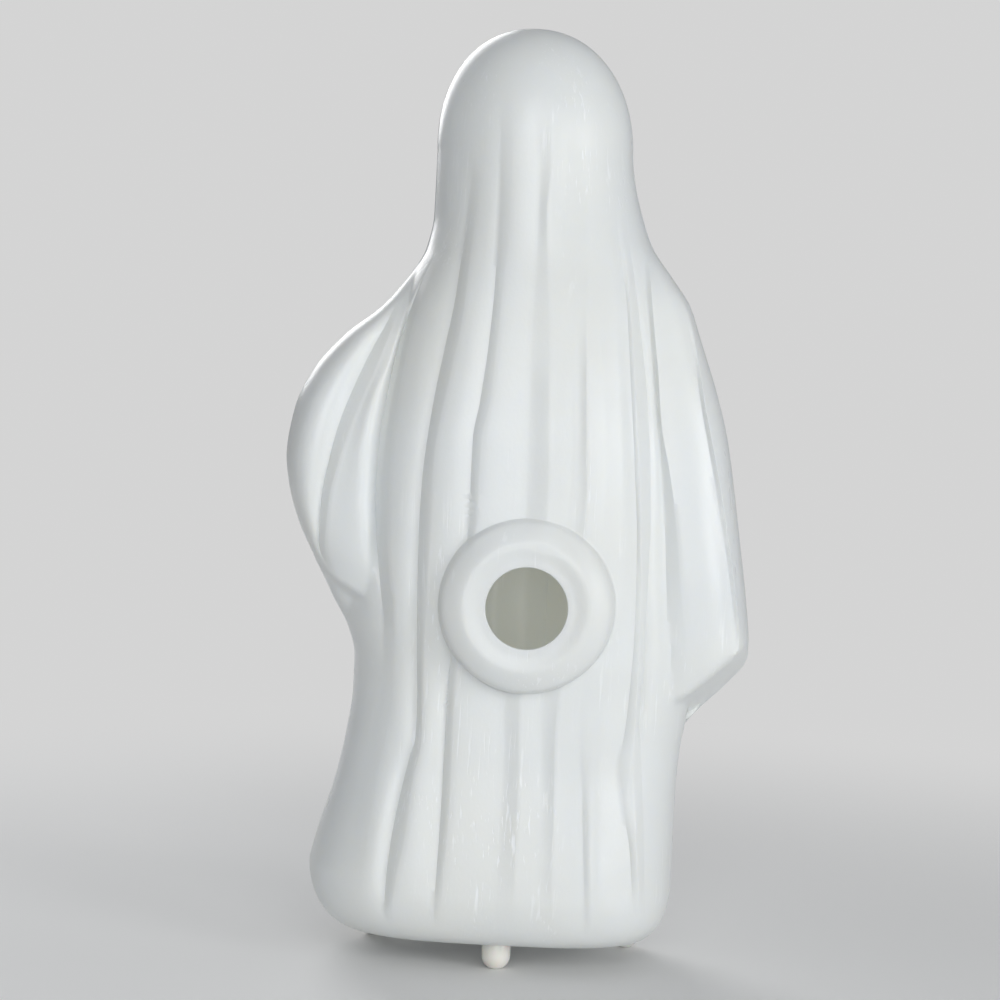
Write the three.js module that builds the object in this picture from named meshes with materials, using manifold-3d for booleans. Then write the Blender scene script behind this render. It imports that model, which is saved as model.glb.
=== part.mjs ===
// A hollow blow-moulded ghost: a figure under a draped sheet, standing on three plug feet.
// Millimetres, +Z up. The front faces -Y and the back, with the lamp boss, faces +Y.
// The two shells meet on the mould's parting plane, y = 0.
import * as THREE from "three";
import { mergeVertices } from "three/addons/utils/BufferGeometryUtils.js";
import Module from "manifold-3d";

const wasm = await Module();
wasm.setup();

// Overall sizes
const FOOT_HEIGHT = 10;
const HEAD_TOP = 345;
const DOME_START = 300;
const HEAD_HALF_WIDTH = 36.3;
const HEAD_CENTRE_X = 0.55;
const HEAD_LEAN = 1.3;
const HEAD_DEPTH_BACK = 34;
const HEAD_DEPTH_FRONT = 35;
const DOME_POWER = 2.15;
const DOME_LAST_SHARE = 0.998;
const WALL = 2;
const FLOOR_WALL = 2.5;

// Hem: where each side of the base begins to turn under, and how far it turns in
const HEM_LEFT_START = 34;
const HEM_LEFT_TURN = 18.5;
const HEM_RIGHT_START = 30;
const HEM_RIGHT_TURN = 12;
const HEM_DEPTH_START = 28;
const HEM_DEPTH_TURN = 13;

// Lamp boss and its hole
const BOSS_X = -4.6;
const BOSS_Z = 134.3;
const BOSS_RADIUS = 31.8;
const BOSS_CREST_RADIUS = 22.5;
const BOSS_CREST_Y = 55.5;
const BOSS_CONE_FALL = 5;
const BOSS_CONE_POWER = 1.5;
const BOSS_FOOT_FALL = 6.5;
const BOSS_FOOT_POWER = 14;
const BOSS_DISH = 0.8;
const BOSS_BURIAL = 18;
const HOLE_RADIUS = 14.6;
const SEAT_WIDTH = 2.4;

// Plug feet
const FOOT_RADIUS = 5.3;
const FOOT_FLAT_RADIUS = 2;
const STEM_RADIUS = 3;
const BARB_RADIUS = 3.9;
const BARB_HEIGHT = 4;
const BARB_TIP_RADIUS = 1.5;
const BARB_ROOM = 1;
const FIT_GAP = 0.3;
const FEET = {
  foot_rear: [0, 31],
  foot_front_left: [47, -17],
  foot_front_right: [-49, -17],
};

// Face: [x, z, half width, half height] of each painted recess
const FACE = {
  eye_left: [14.5, 293, 5.5, 9.5],
  eye_right: [-13.5, 293, 5.5, 9.5],
  mouth: [0.8, 266, 5, 7],
};
const RECESS_DEPTH = 1;
const PAINT_INSET = 0.25;
const PAINT_THICKNESS = 0.45;
const RECESS_CUT_START = -5;

// Outline on the parting plane, as [z, x]
const LEFT_OUTLINE = [
  [300, 36.8], [275, 36.8], [262, 39], [250, 46], [240, 54], [228, 68], [215, 78.5], [201, 84.7],
  [184, 87], [173, 85.6], [160, 81.6], [147, 75.3], [133, 68.3], [119, 61], [110, 58.7], [98, 58.6],
  [80, 60.5], [60, 64.6], [45, 69], [34, 71.6],
];
const RIGHT_OUTLINE = [
  [300, -35.7], [290, -37.2], [277, -40.7], [266, -45], [255, -53], [245, -60], [233, -64.5],
  [211, -72.3], [196, -76.5], [180, -79.5], [160, -82.8], [137, -86.5], [122, -88.4], [117, -88.7],
  [113, -87.6], [106, -82], [93, -69.5], [88, -66], [80, -64.8], [64, -64], [30, -64],
];
// The body's own sides where the arms hide them
const LEFT_TORSO = [
  [266, 38.1], [258, 40.6], [250, 43.9], [241, 47.8], [230, 51.6], [210, 56.6], [184, 61], [156, 62.5],
  [130, 63], [114, 60.5],
];
const RIGHT_TORSO = [
  [277, -40.7], [270, -43.3], [262, -46.3], [254, -49.2], [246, -51.7], [236, -54.3], [193, -61],
  [139, -65.5], [110, -67], [93, -66.3], [85, -65.4], [75, -64.6],
];
// Depth of the body behind and ahead of the parting plane, as [z, y]
const BACK_DEPTH = [
  [300, 34], [280, 35.5], [262, 38], [240, 43], [215, 48], [190, 51], [165, 51], [140, 49],
  [115, 45], [95, 43.5], [75, 44], [55, 47], [38, 50], [28, 51],
];
const FRONT_DEPTH = [
  [300, 35], [280, 37], [262, 38.5], [240, 42], [215, 46], [190, 48], [165, 48], [140, 47],
  [115, 45], [95, 44], [75, 45], [55, 47], [38, 49], [28, 50],
];
// Depths of the two arms under the sheet, and the inner edge of the hanging sleeve
const LEFT_ARM_BACK = [
  [260, 0], [254, 8], [248, 14.5], [242, 20], [236, 24], [228, 28], [210, 31.5], [190, 34],
  [165, 34.5], [150, 33.5], [133, 30], [124, 23], [117, 12],
];
const LEFT_ARM_FRONT = [
  [256, 8], [240, 23], [225, 37], [208, 49], [190, 56], [172, 58.5], [150, 58], [132, 55], [124, 40],
  [115, 12],
];
const RIGHT_ARM_BACK = [
  [274, 0], [268, 10], [262, 18], [256, 23.5], [248, 27.5], [232, 31], [205, 34.6], [180, 35.2],
  [150, 35], [125, 32.5], [104, 30], [92, 18],
];
const RIGHT_ARM_FRONT = [
  [268, 8], [258, 22], [245, 31], [225, 39], [200, 45], [170, 49], [140, 51], [120, 50], [106, 42],
  [92, 14],
];
const LEFT_BACK_INNER_EDGE = [[260, 36], [117, 36]];
const RIGHT_BACK_INNER_EDGE = [
  [256, -34.5], [231, -35.5], [217, -37], [203, -38.5], [189, -40.5], [175, -42], [160, -43.4],
  [139, -45.8], [110, -48], [99, -49],
];
const LEFT_FRONT_INNER_EDGE = [
  [250, 34], [235, 22], [222, 13], [205, 8], [175, 5.5], [145, 7], [128, 9], [115, 12],
];
const RIGHT_FRONT_INNER_EDGE = [
  [258, -31], [230, -34.5], [200, -38.5], [150, -43], [110, -47], [92, -48],
];
// How square each section is: the body's at each height, as [z, power], and the arms'
const BACK_POWER = [
  [288, 2.05], [280, 2.05], [240, 2.35], [232, 2.35], [150, 2.4], [110, 2.75], [80, 3], [40, 3.1],
];
const FRONT_POWER = [[288, 2.05], [280, 2.05], [240, 2.35], [232, 2.35]];
const BACK_ARM_POWER = 3.6;
const FRONT_ARM_POWER = 2.3;
const SLEEVE_POWER = 2.8;
const LOBE_BLEND = 3;
const BLEND_TRIM = 0.2;

// Each fold line runs down the back: its path as [z, x], its height as [z, mm], and how sharply it bends
// on its left and on its right, from 0, round, to 1
const BACK_FOLDS = [
  // The arm held out under the sheet
  {
    path: [[284, 36.3], [275, 36.45], [262, 38.6], [250, 45], [242, 50.6], [232, 57], [219, 65.8],
      [204, 74.9], [193, 79.1], [182, 80.5], [171, 80.3], [160, 77.5], [149, 73.9], [130, 65.6],
      [110, 57.5], [80, 59.6], [60, 63.3], [22, 65.5]],
    height: [[242, 0], [222, 1.2], [200, 2.2], [165, 2.2], [150, 0.8], [143, 0]],
    left: 0,
    right: 0,
  },
  {
    path: [[284, 35.5], [275, 35.75], [262, 37.7], [250, 43.4], [242, 47.8], [234, 51], [223, 56.2],
      [209, 62], [194, 67], [182, 69.5], [170, 71.4], [152, 71.9], [142, 67.5], [130, 62.5],
      [110, 55.8], [60, 61], [22, 63.5]],
    height: [[240, 0], [225, -1.5], [205, -2.1], [165, -2.1], [152, -1.2], [143, 0]],
    left: 1,
    right: 1,
  },
  {
    path: [[284, 34.7], [275, 35.05], [262, 36.8], [250, 42], [242, 45.8], [232, 48.9], [223, 51.9],
      [209, 56.9], [194, 62.2], [182, 65.6], [170, 68.2], [152, 69.4], [142, 65], [130, 60],
      [110, 54.4], [60, 59.4], [22, 61.8]],
    height: [[240, 0], [222, 0.5], [165, 0.3], [145, 0]],
    left: 0.7,
    right: 0,
  },
  {
    path: [[284, 33.8], [262, 35.6], [250, 40.4], [242, 43.7], [234, 46.3], [220, 49.3], [205, 54.4],
      [194, 56.4], [183, 57.6], [172, 57.8], [158, 57.1], [147, 55.9], [130, 54], [110, 51.5], [60, 57],
      [22, 60]],
    height: [[240, 0], [220, 0.9], [200, 1.7], [150, 1.7], [134, 0]],
    left: 0,
    right: 0,
  },
  // The long folds left of the boss
  {
    path: [[284, 32], [262, 34.2], [252, 38.6], [242, 42], [234, 44.4], [220, 47.6], [205, 50],
      [191, 51.6], [173, 52], [158, 51.1], [140, 48.8], [124, 46.7], [105, 46], [60, 52.5], [22, 55.5]],
    height: [[258, 0], [243, -1.4], [222, -2.3], [150, -2.5], [134, -2], [120, -0.8], [105, 0]],
    left: 1,
    right: 1,
  },
  {
    path: [[284, 29.6], [262, 32], [252, 35.6], [242, 39], [234, 41.2], [220, 43.4], [205, 45.2],
      [191, 46.6], [162, 46.7], [141, 44.9], [132, 43], [119, 42.2], [100, 41.8], [60, 47], [22, 50]],
    height: [[262, 0], [240, 0.8], [205, 1.2], [135, 1.2], [110, 0.5], [60, 0.6], [20, 0]],
    left: 0.8,
    right: 0,
  },
  {
    path: [[285, 23.2], [260, 25.1], [242, 26.7], [228, 28.9], [206, 32.3], [192, 33.9], [178, 35],
      [163, 35.3], [117, 34.1], [91, 32.9], [84, 33], [77, 34.7], [62, 37.6], [48, 39.7], [33, 40.8],
      [22, 41]],
    height: [[294, 0], [270, -1], [245, -1.9], [190, -2.3], [120, -2.2], [95, -2.2], [84, -1.7],
      [60, -2.5], [35, -2.3], [18, 0]],
    left: 1,
    right: 1,
  },
  {
    path: [[285, 19.6], [260, 21.6], [235, 23.3], [214, 26.7], [199, 29.3], [185, 30.8], [164, 31],
      [117, 31.4], [92, 30.8], [82, 30.7], [70, 32.7], [48, 34.6], [34, 37], [22, 38]],
    height: [[294, 0], [262, 0.5], [230, 0.8], [80, 0.8], [40, 0.6], [18, 0]],
    left: 0.4,
    right: 0,
  },
  // The folds that the boss interrupts
  {
    path: [[308, 13.6], [292, 12.8], [271, 12.4], [250, 12.5], [229, 13.5], [207, 15.6], [193, 17.5],
      [179, 17.5], [168, 17.3], [98, 22.2], [64, 22.3], [22, 23.1]],
    height: [[314, 0], [296, -0.8], [250, -1], [215, -1.2], [165, -1.4], [100, -1.9], [60, -1.9],
      [35, -1.3], [18, 0]],
    left: 1,
    right: 1,
  },
  {
    path: [[308, 9], [292, 8.2], [271, 8], [250, 9.2], [229, 10.3], [207, 11.8], [193, 14.1],
      [168, 14.5], [98, 19.5], [64, 19.2], [22, 20.4]],
    height: [[314, 0], [280, 0.2], [200, 0.3], [90, 0.5], [18, 0]],
    left: 0.4,
    right: 0,
  },
  {
    path: [[308, 0.6], [292, -1.3], [261, -1.8], [236, -1.3], [208, -1.4], [180, -2.1], [101, 2.2],
      [80, 1], [22, 1]],
    height: [[318, 0], [302, -0.7], [250, -0.5], [220, -0.7], [170, -0.9], [100, -0.9], [60, -0.7],
      [18, 0]],
    left: 0.8,
    right: 0.2,
  },
  {
    path: [[308, -5.4], [293, -5.8], [277, -4.9], [261, -5.9], [230, -8.4], [194, -10.2], [177, -11],
      [102, -4.2], [66, -5.4], [22, -5.8]],
    height: [[316, 0], [300, 0.7], [274, 0.6], [260, 0.1], [226, 0.1], [212, 0.7], [170, 0.7],
      [90, 0.5], [40, 0.4], [18, 0]],
    left: 0.5,
    right: 0.3,
  },
  {
    path: [[309, -11], [277, -11.4], [258, -13.6], [237, -16.1], [216, -17.6], [177, -18.9],
      [102, -11.6], [66, -12.9], [22, -13.6]],
    height: [[314, 0], [290, -0.4], [240, -0.2], [215, -0.6], [175, -0.6], [90, -0.7], [40, -0.6],
      [18, 0]],
    left: 0.5,
    right: 0,
  },
  {
    path: [[309, -18], [279, -19.3], [256, -20.1], [227, -21.6], [195, -23.3], [174, -24.4],
      [88, -17.6], [66, -18.3], [22, -19.4]],
    height: [[290, 0], [256, 0.2], [230, 0.6], [200, 0.9], [165, 0.8], [90, 0.5], [18, 0]],
    left: 0.8,
    right: 0.4,
  },
  // Shallow folds right of the boss
  {
    path: [[302, -22], [245, -25], [209, -28.9], [174, -30.8], [88, -26], [66, -27.9], [48, -29.2],
      [22, -31.2]],
    height: [[250, 0], [110, 0], [80, -0.6], [45, -1], [25, -0.6], [16, 0]],
    left: 0.7,
    right: 0.7,
  },
  {
    path: [[302, -25], [245, -29.6], [209, -33.4], [174, -35.6], [100, -34], [66, -32.4], [22, -34.2]],
    height: [[250, 0], [110, 0], [80, 0.4], [40, 0.4], [18, 0]],
    left: 0,
    right: 0,
  },
  // The ridge beside the hanging sleeve
  {
    path: [[302, -28], [270, -30.9], [245, -35.1], [231, -36.5], [210, -38.5], [185, -40.9], [160, -43],
      [124, -44], [103, -43.3], [88, -42.2], [79, -40.6], [66, -42.4], [48, -46.2], [22, -49]],
    height: [[285, 0], [262, -0.3], [240, -0.6], [200, -0.8], [130, -0.8], [106, -1], [80, -1.2],
      [60, -0.8], [40, -1], [18, 0]],
    left: 0,
    right: 1,
  },
  {
    path: [[302, -29.5], [270, -32.6], [249, -35.9], [235, -37.3], [210, -40], [185, -42.5],
      [158, -44.6], [124, -46], [97, -46.1], [79, -45.6], [66, -47], [48, -48.8], [22, -51.6]],
    height: [[280, 0], [258, 0.5], [230, 0.6], [150, 0.6], [115, 0.6], [100, 0.9], [60, 1.3], [35, 1],
      [18, 0]],
    left: 0.8,
    right: 0.5,
  },
  {
    path: [[302, -31], [270, -34.8], [251, -38.1], [242, -39.6], [231, -41.3], [215, -43.8],
      [203, -45.1], [189, -46.4], [175, -47.2], [157, -47.9], [135, -48], [113, -48], [95, -47.6],
      [79, -49], [48, -51.6], [22, -53]],
    height: [[268, 0], [252, -0.8], [230, -1.3], [160, -1.2], [140, -0.8], [125, -1.1], [105, -1.1],
      [92, -0.4], [80, 0]],
    left: 0.8,
    right: 1,
  },
  {
    path: [[302, -32.4], [270, -36.6], [251, -40.5], [242, -42.5], [231, -44.3], [215, -46.7],
      [203, -48.2], [189, -49.8], [175, -50.8], [157, -51.9], [135, -53], [113, -53.7], [95, -53],
      [79, -53], [48, -54], [22, -54.6]],
    height: [[262, 0], [245, -0.4], [165, -0.5], [140, 0.4], [120, 0.8], [98, 0.8], [80, 0.3], [60, 0]],
    left: 0,
    right: 0,
  },
  // The hanging sleeve
  {
    path: [[302, -33.4], [270, -38.4], [257, -43.1], [246, -44.4], [237, -45.5], [221, -47.7],
      [201, -50], [186, -53.4], [171, -56.4], [159, -58.4], [147, -60], [135, -61.8], [116, -63.9],
      [99, -63.5], [90, -60.4], [80, -58.4], [60, -57.6], [22, -57.4]],
    height: [[270, 0], [258, 0.6], [230, 1], [180, 1.1], [140, 1], [112, 0.9], [98, 0]],
    left: 0.9,
    right: 0.4,
  },
  {
    path: [[302, -34.4], [270, -40.8], [252, -52.4], [245, -55.6], [238, -57.9], [229, -60.2],
      [211, -63.6], [196, -67], [182, -70.2], [168, -73.1], [153, -76.5], [139, -79.1], [124, -81.3],
      [112, -80], [100, -70.4], [90, -62.8], [80, -60.8], [60, -60], [22, -59.6]],
    height: [[248, 0], [236, -0.6], [220, -1], [180, -1.2], [135, -1.2], [118, -0.4], [108, 0]],
    left: 0,
    right: 0.5,
  },
  {
    path: [[302, -34.8], [270, -41.4], [252, -53.4], [245, -56.7], [238, -59.1], [229, -61.5],
      [211, -65], [196, -68.6], [182, -72], [168, -75], [153, -78], [139, -80.6], [124, -82.7],
      [112, -81.6], [100, -71.8], [90, -64], [80, -62], [60, -61.2], [22, -60.8]],
    height: [[248, 0], [236, 0.5], [220, 0.9], [180, 1.1], [135, 1.1], [118, 0.6], [106, 0]],
    left: 0.8,
    right: 0,
  },
];
// The front's folds, the same way
const FRONT_FOLDS = [
  {
    path: [[240, 49.5], [228, 60], [215, 68], [190, 74], [165, 71], [140, 61], [110, 50], [60, 54],
      [22, 56]],
    height: [[240, 0], [225, -1.4], [150, -1.4], [138, 0], [95, 0], [70, -1.2], [35, -1.2], [16, 0]],
    left: 0.6,
    right: 0.6,
  },
  {
    path: [[240, 44.5], [228, 52], [215, 58], [190, 62], [165, 60], [140, 52], [110, 43], [60, 46],
      [22, 48]],
    height: [[240, 0], [215, 0.8], [140, 0.8], [95, 0.6], [40, 0.8], [16, 0]],
    left: 0,
    right: 0,
  },
  {
    path: [[240, 39.5], [228, 43.5], [215, 47], [190, 49], [165, 47], [140, 42], [110, 36], [60, 38],
      [22, 39]],
    height: [[238, 0], [215, -1.6], [146, -2], [136, 0], [118, 0], [98, -1.8], [40, -2], [16, 0]],
    left: 0.8,
    right: 0.8,
  },
  {
    path: [[240, 34], [200, 36.5], [150, 35], [110, 29], [60, 30], [22, 31]],
    height: [[230, 0], [200, 0.9], [60, 0.9], [16, 0]],
    left: 0,
    right: 0,
  },
  {
    path: [[234, 28], [200, 25], [150, 25], [110, 21.5], [60, 22], [22, 23]],
    height: [[228, 0], [205, -1.4], [145, -1.8], [134, 0], [118, -1], [60, -1.8], [16, 0]],
    left: 0.7,
    right: 0.7,
  },
  {
    path: [[232, 22], [205, 14], [175, 11.5], [145, 13], [128, 15], [110, 14], [60, 14], [22, 15]],
    height: [[222, 0], [205, 0.8], [140, 0.8], [60, 0.8], [16, 0]],
    left: 0,
    right: 0,
  },
  {
    path: [[232, 16], [205, 7.5], [175, 5], [145, 6.5], [128, 8.5], [110, 7], [60, 6], [22, 6]],
    height: [[222, 0], [205, -0.6], [135, -0.8], [110, -1.4], [40, -1.4], [16, 0]],
    left: 0.7,
    right: 0.7,
  },
  {
    path: [[235, 2], [200, -2.5], [150, -3], [100, -4], [22, -3]],
    height: [[235, 0], [200, 0.8], [60, 0.8], [16, 0]],
    left: 0,
    right: 0,
  },
  {
    path: [[245, -9], [200, -12], [150, -13], [100, -13], [22, -12]],
    height: [[250, 0], [215, -1.3], [110, -1.8], [40, -1.4], [16, 0]],
    left: 0.8,
    right: 0.8,
  },
  {
    path: [[245, -17], [200, -20.5], [150, -22], [100, -22], [22, -21]],
    height: [[245, 0], [200, 0.9], [60, 0.9], [16, 0]],
    left: 0,
    right: 0,
  },
  {
    path: [[245, -24], [200, -29], [150, -31], [100, -31.5], [22, -30.5]],
    height: [[245, 0], [215, -1.2], [110, -1.6], [40, -1.6], [16, 0]],
    left: 0.7,
    right: 0.7,
  },
  {
    path: [[258, -31], [230, -34.5], [200, -38.5], [150, -43], [110, -46.5], [92, -46], [60, -41],
      [22, -39.5]],
    height: [[258, 0], [235, -0.6], [110, -0.8], [92, 0], [70, 0.6], [40, 0.6], [16, 0]],
    left: 0.5,
    right: 0.5,
  },
  {
    path: [[258, -36], [230, -40], [200, -44.5], [150, -49.5], [110, -53], [92, -52], [60, -47.5],
      [22, -46]],
    height: [[258, 0], [235, 1], [112, 1], [98, 0], [70, -1.2], [40, -1.2], [16, 0]],
    left: 0.3,
    right: 0.3,
  },
  {
    path: [[245, -50], [200, -61], [150, -69], [115, -74], [95, -62], [60, -56], [22, -53]],
    height: [[240, 0], [215, -1], [125, -1.2], [110, 0]],
    left: 0.6,
    right: 0.6,
  },
];
const BEND_POWER = 2.2;

// Sleeve hems: each one's height at x = 0, its slope and the height that it falls over. Below its hem the
// left sleeve keeps a share of its depth, and the right one falls to the outline.
const LEFT_HEM = { base: 104.6, slope: 0.55, drop: 5, keep: 0.8 };
const FOREARM_HEM = { base: 127, slope: 0.27, drop: 13, keep: 0.62 };
const RIGHT_HEM = { base: 47.5, slope: -0.875, drop: 14.3 };

// Mesh fineness
const EDGE_STEPS = 4;
const FOLD_STEPS = 2;
const HEM_LEVELS = 5;
const DOME_LEVELS = 7;
const LEVEL_BANDS = [
  [HEM_LEFT_START, 92, 9], [92, 122, 4], [122, 154, 5.5], [154, 240, 11], [240, 276, 6],
  [276, DOME_START, 12],
];
const ROUND_STEPS = 40;
const BOSS_STEPS = 7;
const DISH_STEPS = 3;
const FOOT_STEPS = 16;
const BALL_STEPS = 6;
const FACE_STEPS = 20;
const LEAST_DEPTH = 0.2;
const SLIVER = 0.03;

// The hollow: coarser than the skin, and kept a full wall inside it on the steep flanks too
const HOLLOW_EDGE_STEPS = 2;
const HOLLOW_COARSENESS = 1.4;
const THICK_WALL = WALL * 1.2;
const HOLLOW_RISE = 4.5;
const HOLLOW_LEAST_DEPTH = 1.2;
const HOLLOW_SAMPLES = 5;
const EDGE_REACH = 12;
const MOST_LEAN = 2.5;
const CORE_REACH = 3;

const clamp01 = (value) => Math.min(1, Math.max(0, value));
const smooth01 = (value) => clamp01(value) ** 2 * (3 - 2 * clamp01(value));
const mix = (a, b, share) => a + (b - a) * share;

// The same function of z, with each answer kept, because each level asks for it many times.
function remember(fn) {
  const known = new Map();
  return (z) => {
    if (!known.has(z)) known.set(z, fn(z));
    return known.get(z);
  };
}

// A smooth curve through points [z, value], level past both ends and free of overshoot.
function curve(points) {
  const knots = [...points].sort((a, b) => a[0] - b[0]);
  const slope = knots.slice(1).map((k, i) => (k[1] - knots[i][1]) / (k[0] - knots[i][0]));
  const tangent = knots.map((_, i) => {
    if (i === 0 || i === knots.length - 1) return 0;
    const before = slope[i - 1];
    const after = slope[i];
    return before * after <= 0 ? 0 : (2 * before * after) / (before + after);
  });
  tangent[0] = slope[0];
  tangent[knots.length - 1] = slope[slope.length - 1];
  return (z) => {
    if (z <= knots[0][0]) return knots[0][1];
    const i = knots.findIndex((k) => k[0] >= z) - 1;
    if (i < 0) return knots[knots.length - 1][1];
    const width = knots[i + 1][0] - knots[i][0];
    const t = (z - knots[i][0]) / width;
    const a = (1 + 2 * t) * (1 - t) ** 2 * knots[i][1] + t * (1 - t) ** 2 * width * tangent[i];
    const b = t * t * (3 - 2 * t) * knots[i + 1][1] - t * t * (1 - t) * width * tangent[i + 1];
    return a + b;
  };
}

// How much of a round corner of the given reach is left at a share of the way round it.
const corner = (share) => 1 - Math.sqrt(Math.max(0, 1 - clamp01(share) ** 2));
const domeShare = (z) => clamp01((z - DOME_START) / (HEAD_TOP - DOME_START));
const dome = (z) => (1 - domeShare(z) ** DOME_POWER) ** (1 / DOME_POWER);

function sideOutline(points, side, start, turn) {
  const line = curve(points);
  return (z) => {
    if (z >= DOME_START) {
      return HEAD_CENTRE_X + HEAD_LEAN * domeShare(z) + side * HEAD_HALF_WIDTH * dome(z);
    }
    return line(z) - side * turn * corner((start - z) / (start - FOOT_HEIGHT));
  };
}

const leftEdge = remember(sideOutline(LEFT_OUTLINE, 1, HEM_LEFT_START, HEM_LEFT_TURN));
const rightEdge = remember(sideOutline(RIGHT_OUTLINE, -1, HEM_RIGHT_START, HEM_RIGHT_TURN));
const leftTorsoLine = curve(LEFT_TORSO);
const rightTorsoLine = curve(RIGHT_TORSO);
const between = (z, points) => z <= points[0][0] && z >= points[points.length - 1][0];

function leftTorso(z) {
  return between(z, LEFT_TORSO) ? Math.min(leftEdge(z), leftTorsoLine(z)) : leftEdge(z);
}

function rightTorso(z) {
  return between(z, RIGHT_TORSO) ? Math.max(rightEdge(z), rightTorsoLine(z)) : rightEdge(z);
}

function bodyDepth(points, headDepth) {
  const line = curve(points);
  return (z) => {
    if (z >= DOME_START) return headDepth * dome(z);
    return line(z) - HEM_DEPTH_TURN * corner((HEM_DEPTH_START - z) / (HEM_DEPTH_START - FOOT_HEIGHT));
  };
}

// A rounded ridge between two edges, as deep as asked at its middle.
function lobe(x, inner, outer, depth, power) {
  const across = Math.abs((2 * x - inner - outer) / (outer - inner));
  return across >= 1 ? 0 : depth * (1 - across ** power) ** (1 / power);
}

// The greater of two heights, with the crease between them rounded.
function blend(a, b) {
  const reach = LOBE_BLEND * clamp01(Math.max(a, b) / (4 * LOBE_BLEND));
  const trim = BLEND_TRIM * reach * clamp01(1 - Math.abs(a - b) / LOBE_BLEND);
  return (a + b + Math.sqrt((a - b) ** 2 + reach ** 2)) / 2 - trim;
}

// A sleeve's hem: above it the sleeve keeps its full depth, and below it only a share of that.
function hemKeep(x, z, hem) {
  const line = hem.base + hem.slope * x;
  return mix(hem.keep, 1, smooth01((z - line + hem.drop) / hem.drop));
}

// The hanging sleeve's hem falls right to the outline.
function rightHemKeep(x, z) {
  const line = RIGHT_HEM.base + RIGHT_HEM.slope * x;
  return clamp01((z - line + RIGHT_HEM.drop) / RIGHT_HEM.drop);
}

// The depth of one half's body and arms at any place, without folds.
function makeSide(side) {
  const depth = bodyDepth(side.depth, side.headDepth);
  const power = curve(side.power);
  const leftArm = curve(side.leftArm);
  const rightArm = curve(side.rightArm);
  const leftInner = curve(side.leftInner);
  const rightInner = curve(side.rightInner);
  const sizes = remember((z) => ({
    right: rightTorso(z),
    left: leftTorso(z),
    depth: depth(z),
    power: power(z),
    leftArm: between(z, side.leftArm) ? leftArm(z) : 0,
    rightArm: between(z, side.rightArm) ? rightArm(z) : 0,
    leftInner: leftInner(z),
    rightInner: rightInner(z),
  }));
  return (x, z) => {
    const at = sizes(z);
    let height = lobe(x, at.right, at.left, at.depth, at.power);
    if (at.leftArm > 0 && x > at.leftInner) {
      const arm = lobe(x, at.leftInner, leftEdge(z), at.leftArm, side.armPower);
      height = blend(height, arm * hemKeep(x, z, side.leftHem));
    }
    if (at.rightArm > 0 && x < at.rightInner) {
      const arm = lobe(x, rightEdge(z), at.rightInner, at.rightArm, SLEEVE_POWER);
      height = blend(height, arm * rightHemKeep(x, z));
    }
    return height;
  };
}

const backBase = makeSide({
  depth: BACK_DEPTH,
  headDepth: HEAD_DEPTH_BACK,
  power: BACK_POWER,
  leftArm: LEFT_ARM_BACK,
  rightArm: RIGHT_ARM_BACK,
  leftInner: LEFT_BACK_INNER_EDGE,
  rightInner: RIGHT_BACK_INNER_EDGE,
  leftHem: LEFT_HEM,
  armPower: BACK_ARM_POWER,
});
const frontBase = makeSide({
  depth: FRONT_DEPTH,
  headDepth: HEAD_DEPTH_FRONT,
  power: FRONT_POWER,
  leftArm: LEFT_ARM_FRONT,
  rightArm: RIGHT_ARM_FRONT,
  leftInner: LEFT_FRONT_INNER_EDGE,
  rightInner: RIGHT_FRONT_INNER_EDGE,
  leftHem: FOREARM_HEM,
  armPower: FRONT_ARM_POWER,
});

// A fold line as functions of z. Past its ends it keeps its share of the width.
function foldLine(fold) {
  const height = curve(fold.height);
  const path = curve(fold.path);
  const top = fold.path[0][0];
  const bottom = fold.path[fold.path.length - 1][0];
  const x = (z) => {
    const kept = Math.min(top, Math.max(bottom, z));
    const share = (path(kept) - rightEdge(kept)) / (leftEdge(kept) - rightEdge(kept));
    return mix(rightEdge(z), leftEdge(z), share);
  };
  return { x, height, left: fold.left, right: fold.right };
}

// The stops of one level from the right edge to the left edge: the edges and every fold line between them.
function makeStops(folds) {
  const lines = folds.map(foldLine).reverse();
  return remember((z) => [
    { x: rightEdge(z), height: 0, left: 0, right: 0 },
    ...lines.map((line) => ({ ...line, x: line.x(z), height: line.height(z) })),
    { x: leftEdge(z), height: 0, left: 0, right: 0 },
  ]);
}

const backStops = makeStops(BACK_FOLDS);
const frontStops = makeStops(FRONT_FOLDS);

// The places across one level: closer together at its two ends, where the skin turns square to the plane.
function across(z, stopsAt, steps, edgeSteps) {
  const stops = stopsAt(z);
  const places = [stops[0].x];
  for (let i = 1; i < stops.length; i += 1) {
    const first = i === 1;
    const last = i === stops.length - 1;
    const count = first || last ? edgeSteps : steps;
    for (let j = 1; j <= count; j += 1) {
      let share = j / count;
      if (first) share = 1 - Math.cos((Math.PI * share) / 2);
      if (last) share = Math.sin((Math.PI * share) / 2);
      places.push(mix(stops[i - 1].x, stops[i].x, share));
    }
  }
  return places;
}

// Eases from one fold line to the next: level where a line is round, and steepest where its bend is sharp.
function foldEase(share, from, to) {
  const leaving = from.left;
  const reaching = to.right;
  const round = (1 - Math.cos(Math.PI * share)) / 2;
  return (1 - leaving) * (1 - reaching) * round
    + leaving * (1 - reaching) * (1 - (1 - share) ** BEND_POWER)
    + reaching * (1 - leaving) * share ** BEND_POWER
    + leaving * reaching * share;
}

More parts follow.
